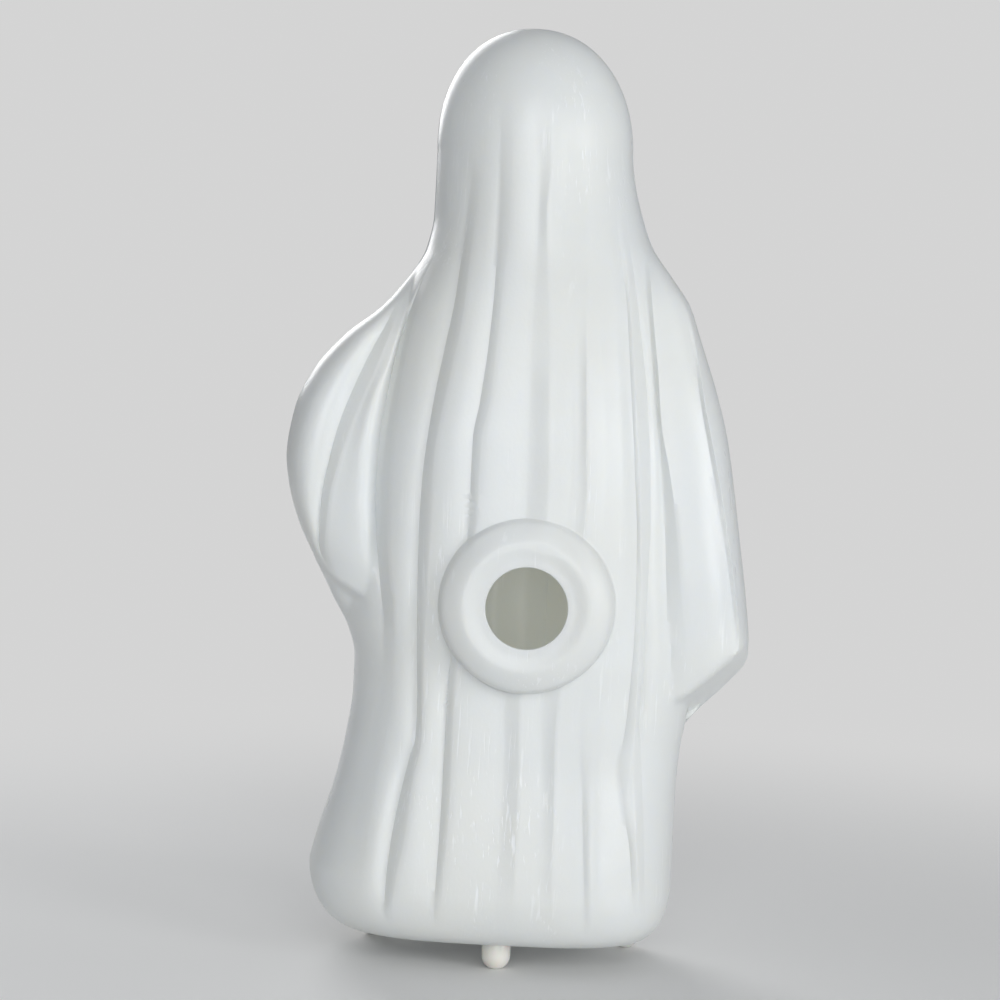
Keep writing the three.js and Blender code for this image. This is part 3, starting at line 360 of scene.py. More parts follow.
REAR_FOLDS = [
    # The raised arm's cloth, from its outer crest inwards
    Fold({
        284: 36.3, 275: 36.45, 262: 38.6, 250: 45, 242: 50.6, 232: 57, 219: 65.8, 204: 74.9, 193: 79.1,
        182: 80.5, 171: 80.3, 160: 77.5, 149: 73.9, 130: 65.6, 110: 57.5, 80: 59.6, 60: 63.3, 22: 65.5}, {
        242: 0, 222: 1.2, 200: 2.2, 165: 2.2, 150: 0.8, 143: 0}),
    Fold({
        284: 35.5, 275: 35.75, 262: 37.7, 250: 43.4, 242: 47.8, 234: 51, 223: 56.2, 209: 62, 194: 67,
        182: 69.5, 170: 71.4, 152: 71.9, 142: 67.5, 130: 62.5, 110: 55.8, 60: 61, 22: 63.5}, {
        240: 0, 225: -1.5, 205: -2.1, 165: -2.1, 152: -1.2, 143: 0}, 1, 1),
    Fold({
        284: 34.7, 275: 35.05, 262: 36.8, 250: 42, 242: 45.8, 232: 48.9, 223: 51.9, 209: 56.9, 194: 62.2,
        182: 65.6, 170: 68.2, 152: 69.4, 142: 65, 130: 60, 110: 54.4, 60: 59.4, 22: 61.8}, {
        240: 0, 222: 0.5, 165: 0.3, 145: 0}, 0.7),
    Fold({
        284: 33.8, 262: 35.6, 250: 40.4, 242: 43.7, 234: 46.3, 220: 49.3, 205: 54.4, 194: 56.4, 183: 57.6,
        172: 57.8, 158: 57.1, 147: 55.9, 130: 54, 110: 51.5, 60: 57, 22: 60}, {
        240: 0, 220: 0.9, 200: 1.7, 150: 1.7, 134: 0}),
    # The valley under the arm, and the crest beside it
    Fold({
        284: 32, 262: 34.2, 252: 38.6, 242: 42, 234: 44.4, 220: 47.6, 205: 50, 191: 51.6, 173: 52,
        158: 51.1, 140: 48.8, 124: 46.7, 105: 46, 60: 52.5, 22: 55.5}, {
        258: 0, 243: -1.4, 222: -2.3, 150: -2.5, 134: -2, 120: -0.8, 105: 0}, 1, 1),
    Fold({
        284: 29.6, 262: 32, 252: 35.6, 242: 39, 234: 41.2, 220: 43.4, 205: 45.2, 191: 46.6, 162: 46.7,
        141: 44.9, 132: 43, 119: 42.2, 100: 41.8, 60: 47, 22: 50}, {
        262: 0, 240: 0.8, 205: 1.2, 135: 1.2, 110: 0.5, 60: 0.6, 20: 0}, 0.8),
    # The back's long folds
    Fold({
        285: 23.2, 260: 25.1, 242: 26.7, 228: 28.9, 206: 32.3, 192: 33.9, 178: 35, 163: 35.3, 117: 34.1,
        91: 32.9, 84: 33, 77: 34.7, 62: 37.6, 48: 39.7, 33: 40.8, 22: 41}, {
        294: 0, 270: -1, 245: -1.9, 190: -2.3, 120: -2.2, 95: -2.2, 84: -1.7, 60: -2.5, 35: -2.3, 18: 0},
        1, 1),
    Fold({
        285: 19.6, 260: 21.6, 235: 23.3, 214: 26.7, 199: 29.3, 185: 30.8, 164: 31, 117: 31.4, 92: 30.8,
        82: 30.7, 70: 32.7, 48: 34.6, 34: 37, 22: 38}, {
        294: 0, 262: 0.5, 230: 0.8, 80: 0.8, 40: 0.6, 18: 0}, 0.4),
    Fold({
        308: 13.6, 292: 12.8, 271: 12.4, 250: 12.5, 229: 13.5, 207: 15.6, 193: 17.5, 179: 17.5, 168: 17.3,
        98: 22.2, 64: 22.3, 22: 23.1}, {
        316: 0, 296: -0.5, 272: -0.85, 250: -1, 215: -1.2, 165: -1.4, 100: -1.9, 60: -1.9, 35: -1.3,
        18: 0}, 1, 1),
    Fold({
        308: 9, 292: 8.2, 271: 8, 250: 9.2, 229: 10.3, 207: 11.8, 193: 14.1, 168: 14.5, 98: 19.5,
        64: 19.2, 22: 20.4}, {
        314: 0, 280: 0.2, 200: 0.3, 90: 0.5, 18: 0}, 0.4),
    Fold({
        308: 0.6, 292: -1.3, 261: -1.8, 236: -1.3, 208: -1.4, 180: -2.1, 101: 2.2, 80: 1, 22: 1}, {
        320: 0, 300: -0.4, 272: -0.5, 250: -0.5, 220: -0.7, 170: -0.9, 100: -0.9, 60: -0.7, 18: 0}, 0.8,
        0.2),
    Fold({
        308: -5.4, 293: -5.8, 277: -4.9, 261: -5.9, 230: -8.4, 194: -10.2, 177: -11, 102: -4.2, 66: -5.4,
        22: -5.8}, {
        320: 0, 298: 0.4, 274: 0.5, 260: 0.1, 226: 0.1, 212: 0.7, 170: 0.7, 90: 0.5, 40: 0.4, 18: 0}, 0.5,
        0.3),
    Fold({
        309: -11, 277: -11.4, 258: -13.6, 237: -16.1, 216: -17.6, 177: -18.9, 102: -11.6, 66: -12.9,
        22: -13.6}, {
        314: 0, 290: -0.4, 240: -0.2, 215: -0.6, 175: -0.6, 90: -0.7, 40: -0.6, 18: 0}, 0.5),
    Fold({
        309: -18, 279: -19.3, 256: -20.1, 227: -21.6, 195: -23.3, 174: -24.4, 88: -17.6, 66: -18.3,
        22: -19.4}, {
        290: 0, 256: 0.2, 230: 0.6, 200: 0.9, 165: 0.8, 90: 0.5, 18: 0}, 0.8, 0.4),
    # Two short folds in the skirt
    Fold({
        302: -22, 245: -25, 209: -28.9, 174: -30.8, 88: -26, 66: -27.9, 48: -29.2, 22: -31.2}, {
        250: 0, 110: 0, 80: -0.6, 45: -1, 25: -0.6, 16: 0}, 0.7, 0.7),
    Fold({
        302: -25, 245: -29.6, 209: -33.4, 174: -35.6, 100: -34, 66: -32.4, 22: -34.2}, {
        250: 0, 110: 0, 80: 0.4, 40: 0.4, 18: 0}),
    # The long crease right of the middle, and its crest
    Fold({
        302: -28, 270: -30.9, 245: -35.1, 231: -36.5, 210: -38.5, 185: -40.9, 160: -43, 124: -44,
        103: -43.3, 88: -42.2, 79: -40.6, 66: -42.4, 48: -46.2, 22: -49}, {
        285: 0, 262: -0.3, 240: -0.6, 200: -0.8, 130: -0.8, 106: -1, 80: -1.2, 60: -0.8, 40: -1, 18: 0},
        0, 1),
    Fold({
        302: -29.5, 270: -32.6, 249: -35.9, 235: -37.3, 210: -40, 185: -42.5, 158: -44.6, 124: -46,
        97: -46.1, 79: -45.6, 66: -47, 48: -48.8, 22: -51.6}, {
        280: 0, 258: 0.5, 230: 0.6, 150: 0.6, 115: 0.6, 100: 0.9, 60: 1.3, 35: 1, 18: 0}, 0.8, 0.5),
    # The back's side, where the sleeve leaves it
    Fold({
        302: -31, 270: -34.8, 251: -38.1, 242: -39.6, 231: -41.3, 215: -43.8, 203: -45.1, 189: -46.4,
        175: -47.2, 157: -47.9, 135: -48, 113: -48, 95: -47.6, 79: -49, 48: -51.6, 22: -53}, {
        268: 0, 252: -0.8, 230: -1.3, 160: -1.2, 140: -0.8, 125: -1.1, 105: -1.1, 92: -0.4, 80: 0}, 0.8,
        1),
    Fold({
        302: -32.4, 270: -36.6, 251: -40.5, 242: -42.5, 231: -44.3, 215: -46.7, 203: -48.2, 189: -49.8,
        175: -50.8, 157: -51.9, 135: -53, 113: -53.7, 95: -53, 79: -53, 48: -54, 22: -54.6}, {
        262: 0, 245: -0.4, 165: -0.5, 140: 0.4, 120: 0.8, 98: 0.8, 80: 0.3, 60: 0}),
    Fold({
        302: -33.4, 270: -38.4, 257: -43.1, 246: -44.4, 237: -45.5, 221: -47.7, 201: -50, 186: -53.4,
        171: -56.4, 159: -58.4, 147: -60, 135: -61.8, 116: -63.9, 99: -63.5, 90: -60.4, 80: -58.4,
        60: -57.6, 22: -57.4}, {
        270: 0, 258: 0.6, 230: 1, 180: 1.1, 140: 1, 112: 0.9, 98: 0}, 0.9, 0.4),
    # The hanging sleeve's own crease
    Fold({
        302: -34.4, 270: -40.8, 252: -52.4, 245: -55.6, 238: -57.9, 229: -60.2, 211: -63.6, 196: -67,
        182: -70.2, 168: -73.1, 153: -76.5, 139: -79.1, 124: -81.3, 112: -80, 100: -70.4, 90: -62.8,
        80: -60.8, 60: -60, 22: -59.6}, {
        248: 0, 236: -0.6, 220: -1, 180: -1.2, 135: -1.2, 118: -0.4, 108: 0}, 0, 0.5),
    Fold({
        302: -34.8, 270: -41.4, 252: -53.4, 245: -56.7, 238: -59.1, 229: -61.5, 211: -65, 196: -68.6,
        182: -72, 168: -75, 153: -78, 139: -80.6, 124: -82.7, 112: -81.6, 100: -71.8, 90: -64, 80: -62,
        60: -61.2, 22: -60.8}, {
        248: 0, 236: 0.5, 220: 0.9, 180: 1.1, 135: 1.1, 118: 0.6, 106: 0}, 0.8),
]

FRONT_FOLDS = [
    # The arm that is held forward
    Fold({
        240: 49.5, 228: 60, 215: 68, 190: 74, 165: 71, 140: 61, 110: 50, 60: 54, 22: 56}, {
        240: 0, 225: -1.4, 150: -1.4, 138: 0, 95: 0, 70: -1.2, 35: -1.2, 16: 0}, 0.6, 0.6),
    Fold({
        240: 44.5, 228: 52, 215: 58, 190: 62, 165: 60, 140: 52, 110: 43, 60: 46, 22: 48}, {
        240: 0, 215: 0.8, 140: 0.8, 95: 0.6, 40: 0.8, 16: 0}),
    Fold({
        240: 39.5, 228: 43.5, 215: 47, 190: 49, 165: 47, 140: 42, 110: 36, 60: 38, 22: 39}, {
        238: 0, 215: -1.6, 146: -2, 136: 0, 118: 0, 98: -1.8, 40: -2, 16: 0}, 0.8, 0.8),
    Fold({
        240: 34, 200: 36.5, 150: 35, 110: 29, 60: 30, 22: 31}, {
        230: 0, 200: 0.9, 60: 0.9, 16: 0}),
    Fold({
        234: 28, 200: 25, 150: 25, 110: 21.5, 60: 22, 22: 23}, {
        228: 0, 205: -1.4, 145: -1.8, 134: 0, 118: -1, 60: -1.8, 16: 0}, 0.7, 0.7),
    # The chest and the skirt below it
    Fold({
        232: 22, 205: 14, 175: 11.5, 145: 13, 128: 15, 110: 14, 60: 14, 22: 15}, {
        222: 0, 205: 0.8, 140: 0.8, 60: 0.8, 16: 0}),
    Fold({
        232: 16, 205: 7.5, 175: 5, 145: 6.5, 128: 8.5, 110: 7, 60: 6, 22: 6}, {
        222: 0, 205: -0.6, 135: -0.8, 110: -1.4, 40: -1.4, 16: 0}, 0.7, 0.7),
    Fold({
        235: 2, 200: -2.5, 150: -3, 100: -4, 22: -3}, {
        235: 0, 200: 0.8, 60: 0.8, 16: 0}),
    Fold({
        245: -9, 200: -12, 150: -13, 100: -13, 22: -12}, {
        250: 0, 215: -1.3, 110: -1.8, 40: -1.4, 16: 0}, 0.8, 0.8),
    Fold({
        245: -17, 200: -20.5, 150: -22, 100: -22, 22: -21}, {
        245: 0, 200: 0.9, 60: 0.9, 16: 0}),
    Fold({
        245: -24, 200: -29, 150: -31, 100: -31.5, 22: -30.5}, {
        245: 0, 215: -1.2, 110: -1.6, 40: -1.6, 16: 0}, 0.7, 0.7),
    # The hanging sleeve
    Fold({
        258: -31, 230: -34.5, 200: -38.5, 150: -43, 110: -46.5, 92: -46, 60: -41, 22: -39.5}, {
        258: 0, 235: -0.6, 110: -0.8, 92: 0, 70: 0.6, 40: 0.6, 16: 0}, 0.5, 0.5),
    Fold({
        258: -36, 230: -40, 200: -44.5, 150: -49.5, 110: -53, 92: -52, 60: -47.5, 22: -46}, {
        258: 0, 235: 1, 112: 1, 98: 0, 70: -1.2, 40: -1.2, 16: 0}, 0.3, 0.3),
    Fold({
        245: -50, 200: -61, 150: -69, 115: -74, 95: -62, 60: -56, 22: -53}, {
        240: 0, 215: -1, 125: -1.2, 110: 0}, 0.6, 0.6),
]


def rear_side(outline: FigureOutline) -> DrapedSide:
    """Returns the back half of the draped figure."""
    return DrapedSide(
        outline,
        depth=SmoothLine({
            300: 34, 280: 35.5, 262: 38, 240: 43, 215: 48, 190: 51, 165: 51, 140: 49, 115: 45, 95: 43.5,
            75: 44, 55: 47, 38: 50, 28: 51}),
        head_depth=34,
        left_arm=SmoothLine({
            260: 0, 254: 8, 248: 14.5, 242: 20, 236: 24, 228: 28, 210: 31.5, 190: 34, 165: 34.5,
            150: 33.5, 133: 30, 124: 23, 117: 12}),
        right_arm=SmoothLine({
            274: 0, 268: 10, 262: 18, 256: 23.5, 248: 27.5, 232: 31, 205: 34.6, 180: 35.2, 150: 35,
            125: 32.5, 104: 30, 92: 18}),
        left_inner=SmoothLine({0: 36, 345: 36}),
        right_inner=SmoothLine({
            256: -34.5, 231: -35.5, 217: -37, 203: -38.5, 189: -40.5, 175: -42, 160: -43.4, 139: -45.8,
            110: -48, 99: -49}),
        left_hem=SleeveHem(base=104.6, slope=0.55, drop=5, keep=0.8),
        right_hem=SLEEVE_FALL,
        folds=REAR_FOLDS,
        power=SmoothLine({
            40: 3.1, 80: 3, 110: 2.75, 150: 2.4, 232: 2.35, 240: 2.35, 280: 2.05, 288: 2.05}),
        arm_power=3.6)


def front_side(outline: FigureOutline) -> DrapedSide:
    """Returns the front half of the draped figure."""
    return DrapedSide(
        outline,
        depth=SmoothLine({
            300: 35, 280: 37, 262: 38.5, 240: 42, 215: 46, 190: 48, 165: 48, 140: 47, 115: 45, 95: 44,
            75: 45, 55: 47, 38: 49, 28: 50}),
        head_depth=35,
        left_arm=SmoothLine({
            256: 8, 240: 23, 225: 37, 208: 49, 190: 55.8, 172: 58.15, 150: 57.7, 132: 55,
            124: 40, 115: 12}),
        right_arm=SmoothLine({
            268: 8, 258: 22, 245: 31, 225: 39, 200: 45, 170: 49, 140: 51, 120: 50, 106: 42, 92: 14}),
        left_inner=SmoothLine({250: 34, 235: 22, 222: 13, 205: 8, 175: 5.5, 145: 7, 128: 9, 115: 12}),
        right_inner=SmoothLine({258: -31, 230: -34.5, 200: -38.5, 150: -43, 110: -47, 92: -48}),
        left_hem=SleeveHem(base=127, slope=0.27, drop=13, keep=0.62),
        right_hem=SLEEVE_FALL,
        folds=FRONT_FOLDS)


class Facing(Enum):
    """Which way a half of the skin faces."""

    REAR = 1
    FRONT = -1


def link(name: str, data: bpy.types.ID) -> Piece:
    """Returns a new object of the data given, linked to the scene."""
    thing = bpy.data.objects.new(name, data)
    bpy.context.scene.collection.objects.link(thing)
    return thing


@dataclass
class Surface:
    """A surface of points and faces, in millimetres.

    Attributes:
        points: Its points.
        faces: Each face's corners, by number.
        lining: The faces that line the hollow, as a range of numbers.
    """

    points: Array
    faces: list[Face]
    lining: range = range(0)

    def welded(self) -> "Surface":
        """Returns the surface with its doubled points joined and its empty faces left out."""
        keys = np.round(self.points, 4)
        _, first, inverse = np.unique(keys, axis=0, return_index=True, return_inverse=True)
        inverse = np.ravel(inverse)
        faces = []
        for face in self.faces:
            ring = [int(inverse[i]) for i in face]
            ring = [v for k, v in enumerate(ring) if v != ring[k - 1]]
            if len(set(ring)) == len(ring) and len(ring) > 2:
                faces.append(tuple(ring))
        used = sorted({v for face in faces for v in face})
        place = {old: new for new, old in enumerate(used)}
        faces = [tuple(place[v] for v in face) for face in faces]
        return Surface(self.points[first][used], faces)

    def normals(self) -> Array:
        """Returns each point's outward direction, from the faces round it."""
        total = np.zeros_like(self.points)
        for corners in (3, 4):
            faces = np.array([f for f in self.faces if len(f) == corners], int).reshape(-1, corners)
            p = self.points[faces]
            normal = np.cross(p[:, 1] - p[:, 0], p[:, 2] - p[:, 0])
            if corners == 4:
                normal = normal + np.cross(p[:, 2] - p[:, 0], p[:, 3] - p[:, 0])
            for k in range(corners):
                np.add.at(total, faces[:, k], normal)
        return total / np.maximum(np.linalg.norm(total, axis=1, keepdims=True), 1e-9)

    def open_edges(self) -> list[tuple[int, int]]:
        """Returns the edges that only one face has, each in that face's own direction."""
        edges = {(face[k - 1], face[k]) for face in self.faces for k in range(len(face))}
        return sorted(edge for edge in edges if (edge[1], edge[0]) not in edges)

    def build(self, name: str, *materials: Material, sharp: float = 40) -> Piece:
        """Makes the object, in metres and in the frame's place.

        Args:
            name: The piece's name.
            *materials: Its finish, and its lining's where it has one.
            sharp: The angle in degrees over which an edge stays crisp.

        Returns:
            The new object, linked to the scene.
        """
        mesh = bpy.data.meshes.new(name)
        mesh.from_pydata(((self.points + FRAME_SHIFT) * MM).tolist(), [], self.faces)
        for material in materials:
            mesh.materials.append(material)
        for face in self.lining:
            mesh.polygons[face].material_index = 1
        mesh.shade_smooth()
        mesh.set_sharp_from_angle(angle=math.radians(sharp))
        mesh.update()
        return link(name, mesh)


def settle(piece: Piece, slot: str, *nodes: str) -> None:
    """Fixes a piece to the body and hides the nodes that it stands for."""
    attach(piece, "root")
    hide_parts(*nodes)
    log.info("%s: %d faces, stands for %s", piece.name, len(piece.data.polygons), ", ".join(nodes))


@dataclass(frozen=True)
class LampBoss:
    """The round raised boss with the open lamp hole.

    Attributes:
        cone: How far the cone falls to its foot, and the power of that fall.
        foot: The same for the turn at the foot.
        flats: Where it is out of round: each flat's depth, angle and power.
        blend: How far it runs into the sheet, from its underside to its top.
        blend_start: How far below the middle, as a share, the blend begins to widen.
        rings: How many rings run to the shoulder, the crest and the hole.
        slack: How far below its crest the seat stays.
    """

    x: float = -4.6
    z: float = 134.3
    radius: float = 31.8
    crest_radius: float = 22.5
    crest: float = 55.5
    cone: Pair = (5.0, 1.5)
    foot: Pair = (6.5, 14)
    flats: tuple[Triple, ...] = ((0.35, 2.2, 4), (0.45, 0.8, 6))
    outer_slope: float = 5.0
    dish: float = 0.8
    hole: float = 14.6
    seat_width: float = 2.4
    edge_round: float = 0.35
    blend: Pair = (1.2, 7.0)
    blend_start: float = 0.1
    slack: float = 0.02
    apron: float = 34.8
    apron_rings: int = 22
    shoulder: float = 2.2
    rings: tuple[int, int, int] = (21, 17, 19)
    edge_rings: int = 4

    def height(self, x: Array, z: Array) -> tuple[Array, Array]:
        """Finds the boss's own height and how softly it meets the sheet.

        Args:
            x: The places across.
            z: Their heights.

        Returns:
            The boss's depth at each place, and the blend's reach there.
        """
        away = np.hypot(x - self.x, z - self.z)
        angle = np.arctan2(z - self.z, x - self.x)
        outer = self.radius
        for size, way, power in self.flats:
            outer = outer - size * clamp01(np.cos(angle + way)) ** power
        out = clamp01((away - self.crest_radius) / (outer - self.crest_radius))
        wall = self.crest - self.cone[0] * out ** self.cone[1] - self.foot[0] * out ** self.foot[1]
        wall = wall - self.outer_slope * np.maximum(0, away - outer)
        seat = self.hole + self.seat_width
        bowl = self.dish * smooth01((self.crest_radius - away) / (self.crest_radius - seat))
        turn = clamp01((self.hole + self.edge_round - away) / self.edge_round)
        lip = self.edge_round * (1 - np.sqrt(1 - turn ** 2))
        upward = (np.sin(angle) + self.blend_start) / (1 + self.blend_start)
        soft = mix(*self.blend, smooth01(upward))
        return wall - bowl - lip, soft

    def raise_from(self, sheet: Array, x: Array, z: Array) -> Array:
        """Returns the sheet's depth with the boss grown out of it."""
        own, soft = self.height(x, z)
        near = np.maximum(soft - np.abs(sheet - own), 0) / soft
        return np.minimum(np.maximum(sheet, own) + near * near * soft / 4, self.crest - self.slack)

    def radii(self) -> Array:
        """Returns the radii of the rings from the apron to the hole, closer where the wall turns."""
        edge = self.hole + self.edge_round
        bends = (self.apron, self.radius - self.shoulder, self.crest_radius, edge)
        runs = [np.linspace(a, b, n + 1)[1:] for a, b, n in zip(bends, bends[1:], self.rings)]
        turn = np.linspace(0, np.pi / 2, self.edge_rings + 1)[1:]
        return np.concatenate((*runs, self.hole + self.edge_round * np.cos(turn)))


@dataclass
class SkinHalf:
    """One half of the blown skin: outer surface, even wall and the rim on the parting plane.

    Attributes:
        floor_rows: The floor's rows, as shares of the way out to the hem.
        flash_depths: The depths of the first points beside the parting plane.
        flash_profile: The share of the flash that each of them stands out by.
        rim_share: The most of the next point's depth that they may take up.
        flash: The flash's height at each z.
        block_z: The heights between which the boss's rings take the grid's place.
        block_folds: The fold lines between which they do.
        dents: The depth of the face's dents at a place.
    """

    side: DrapedSide
    facing: Facing
    boss: LampBoss | None = None
    fold_steps: int = 7
    edge_steps: int = 9
    row_height: float = 1.2
    hem_rows: int = 18
    dome_rows: int = 44
    floor_rows: tuple[float, ...] = (0.0, 0.3, 0.6, 0.85)
    flash_depths: tuple[float, ...] = (0.0, 0.22, 0.42, 0.65, 0.95)
    flash_profile: tuple[float, ...] = (1.0, 0.86, 0.45, 0.12, 0.0)
    rim_share: float = 0.8
    flash: SmoothLine = SmoothLine({
        10: 0.1, 40: 0.1, 100: 0.1, 135: 0.12, 205: 0.1, 225: 0.42, 258: 0.42, 280: 0.3, 330: 0.15,
        344: 0.0})
    lean_step: float = 0.25
    hem_top: float = 34.0
    block_z: Pair = (96.0, 173.0)
    block_folds: tuple[int, int] = (7, 17)
    dents: Callable[[Array, Array], Array] | None = None

    def levels(self) -> Array:
        """Returns the heights of the rows, closer together at the hem and over the head."""
        outline = self.side.outline
        count = round((outline.dome_start - self.hem_top) / self.row_height)
        hem, body, dome = (np.linspace(0, 1, n + 1)[:-1] for n in (self.hem_rows, count, self.dome_rows))
        hem = self.hem_top - (self.hem_top - outline.floor) * np.cos(np.pi / 2 * hem)
        body = mix(self.hem_top, outline.dome_start, body)
        dome = mix(outline.dome_start, outline.head_top, np.sin(np.pi / 2 * dome))
        return np.concatenate((hem, body, dome))

    def columns(self, z: Array) -> Array:
        """Returns the places across each level, from the right edge to the left."""
        places = self.side.stops(z)[0]
        parts = [places[:, :1]]
        last = places.shape[1] - 2
        for i in range(last + 1):
            steps = self.edge_steps if i in (0, last) else self.fold_steps
            share = np.arange(1, steps + 1) / steps
            if i == 0:
                share = 1 - np.cos(np.pi * share / 2)
            elif i == last:
                share = np.sin(np.pi * share / 2)
            parts.append(mix(places[:, i:i + 1], places[:, i + 1:i + 2], share))
        return np.concatenate(parts, 1)

    def depth(self, x: Array, z: Array) -> Array:
        """Returns the finished outer depth at each place, with the boss or the dents."""
        depth = self.side.skin_depth(x, z)
        if self.boss:
            depth = self.boss.raise_from(depth, x, z)
        if self.dents:
            depth = depth - self.dents(x, z)
        return depth

    def rim(self, z: Array, side: int, first: Array) -> tuple[Array, Array]:
        """Lays out the points beside the parting plane on one side.

        Args:
            z: The heights of the rows.
            side: 1 for the left side and -1 for the right.
            first: The depth of the next point in each row.

        Returns:
            The plain points, from the plane inwards, and how far the flash lifts each one.
        """
        outline = self.side.outline
        edge = outline.left_edge if side == 1 else outline.right_edge
        above, below = z + self.lean_step, z - self.lean_step
        lean = (edge(above) - edge(below)) / (2 * self.lean_step)
        lean = np.where(above > outline.head_top, lean[-2], lean)
        out = np.stack((side + 0 * z, 0 * z, -side * lean), 1) / np.hypot(1, lean)[:, None]
        depths = np.array(self.flash_depths)
        rise = np.minimum(depths, first[:, None] * (depths / depths[-1]) * self.rim_share)
        points = np.stack(np.broadcast_arrays(edge(z)[:, None], rise, z[:, None]), 2)
        height = self.flash(z)[:, None] * np.array(self.flash_profile)
        return points, height[:, :, None] * out[:, None, :]

    def grid(self) -> tuple[Array, Array]:
        """Lays out the rows of points, without the flash and with it.

        Returns:
            The plain points and how far the flash lifts each one, as rows of columns.
        """
        z = self.levels()
        x = self.columns(z)
        level = np.repeat(z[:, None], x.shape[1], 1)
        depth = self.depth(x, level)
        right, right_lift = self.rim(z, -1, depth[:, 1])
        left, left_lift = self.rim(z, 1, depth[:, -2])
        middle = np.stack((x, depth, level), 2)[:, 1:-1]
        plain = np.concatenate((right, middle, left[:, ::-1]), 1)
        lifts = np.concatenate((right_lift, np.zeros_like(middle), left_lift[:, ::-1]), 1)
        floor = [plain[0] * np.array([1, share, 1]) for share in self.floor_rows]
        plain = np.concatenate((np.array(floor), plain))
        lifts = np.concatenate((np.repeat(lifts[:1], len(floor), 0), lifts))
        return plain, lifts

    def quad(self, a: int, b: int, c: int, d: int) -> Face:
        """Returns a face of the grid, turned to face out of this half."""
        return (a, d, c, b) if self.facing is Facing.REAR else (a, b, c, d)

    def outer(self) -> tuple[Surface, Array]:
        """Builds the outer surface.

        Returns:
            The surface without the flash, and each point's flash.
        """
        plain, lifts = self.grid()
        rows, count = plain.shape[:2]
        points, lift = plain.reshape(-1, 3), lifts.reshape(-1, 3)
        low, high, start, end = block = self.block(plain) if self.boss else (0, 0, 0, 0)
        faces = []
        for i in range(rows - 1):
            for j in range(count - 1):
                if not (low <= i < high and start <= j < end):
                    a = i * count + j
                    faces.append(self.quad(a, a + 1, a + count + 1, a + count))
        outline = self.side.outline
        apex = len(points)
        top = apex - count
        faces += [self.quad(top + j, top + j + 1, apex, apex) for j in range(count - 1)]
        points = np.vstack((points, [outline.head_centre + outline.head_lean, 0.0, outline.head_top]))
        if self.boss:
            points, faces = self.rings(points, faces, block, count)
        lift = np.vstack((lift, np.zeros((len(points) - apex, 3))))
        points[:, 1] *= self.facing.value
        return Surface(points, faces), lift

    def block(self, plain: Array) -> tuple[int, int, int, int]:
        """Returns the rows and columns of the grid that the boss's rings take the place of."""
        z = plain[:, plain.shape[1] // 2, 2]
        skip = len(self.floor_rows)
        low, high = (skip + int(np.searchsorted(z[skip:], height)) for height in self.block_z)
        first = len(self.flash_depths) - 1 + self.edge_steps
        start, end = (first + (fold - 1) * self.fold_steps for fold in self.block_folds)
        return low, high, start, end

    def rings(self, points: Array, faces: list[Face], block: tuple[int, int, int, int],
              count: int) -> tuple[Array, list[Face]]:
        """Fills the block with rings that run from its border in to the lamp hole.

        Args:
            points: The grid's points.
            faces: The grid's faces.
            block: The rows and columns that the rings replace.
            count: The points in one row.

        Returns:
            The points and faces with the rings added.
        """
        low, high, start, end = block
        border = [low * count + j for j in range(start, end)]
        border += [i * count + end for i in range(low, high)]
        border += [high * count + j for j in range(end, start, -1)]
        border += [i * count + start for i in range(high, low, -1)]
        boss = self.boss
        rim = points[border][:, [0, 2]]
        centre = np.array([boss.x, boss.z])
        angle = np.arctan2(rim[:, 1] - centre[1], rim[:, 0] - centre[0])
        ray = np.stack((np.cos(angle), np.sin(angle)), 1)
        shares = [k / boss.apron_rings for k in range(1, boss.apron_rings + 1)]
        flats = [mix(rim, centre + boss.apron * ray, share) for share in shares]
        flats += [centre + radius * ray for radius in boss.radii()]
        previous = border
        for x, z in (flat.T for flat in flats):
            ring = range(len(points), len(points) + len(x))
            points = np.vstack((points, np.stack((x, self.depth(x, z), z), 1)))
            faces += [self.quad(previous[k - 1], previous[k], ring[k], ring[k - 1])
                      for k in range(len(ring))]
            previous = ring
        return points, faces

    def solid(self) -> Surface:
        """Returns the closed half: outer surface, inner surface a wall inside it, and the rims."""
        surface, lift = self.outer()
        tagged = Surface(np.hstack((surface.points, lift)), surface.faces).welded()
        outer = Surface(tagged.points[:, :3], tagged.faces)
        lift = tagged.points[:, 3:] * np.array([1, self.facing.value, 1])
        normals = outer.normals()
        normals[np.abs(outer.points[:, 1]) < 1e-6, 1] = 0
        # The floor's two ends are so narrow that their faces have no direction of their own
        length = np.linalg.norm(normals, axis=1, keepdims=True)
        normals = np.where(length > 1e-6, normals / np.maximum(length, 1e-6), [0.0, 0.0, -1.0])
        inner = outer.points - WALL * normals
        count = len(outer.points)
        faces = list(outer.faces)
        faces += [tuple(count + v for v in reversed(face)) for face in outer.faces]
        faces += [(b, a, count + a, count + b) for a, b in outer.open_edges()]
        lining = range(len(outer.faces), 2 * len(outer.faces))
        return Surface(np.vstack((outer.points + lift, inner)), faces, lining)


def turned_faces(first: int, rings: int, steps: int) -> list[Face]:
    """Lists the faces between rings of points that follow one another.

    Args:
        first: The number of the first point.
        rings: How many rows of faces there are.
        steps: The points in one ring.

    Returns:
        The faces, facing out where the rings run up and the steps turn left.
    """
    starts = range(first, first + rings * steps, steps)
    return [(a + s, a + (s + 1) % steps, a + steps + (s + 1) % steps, a + steps + s)
            for a in starts for s in range(steps)]


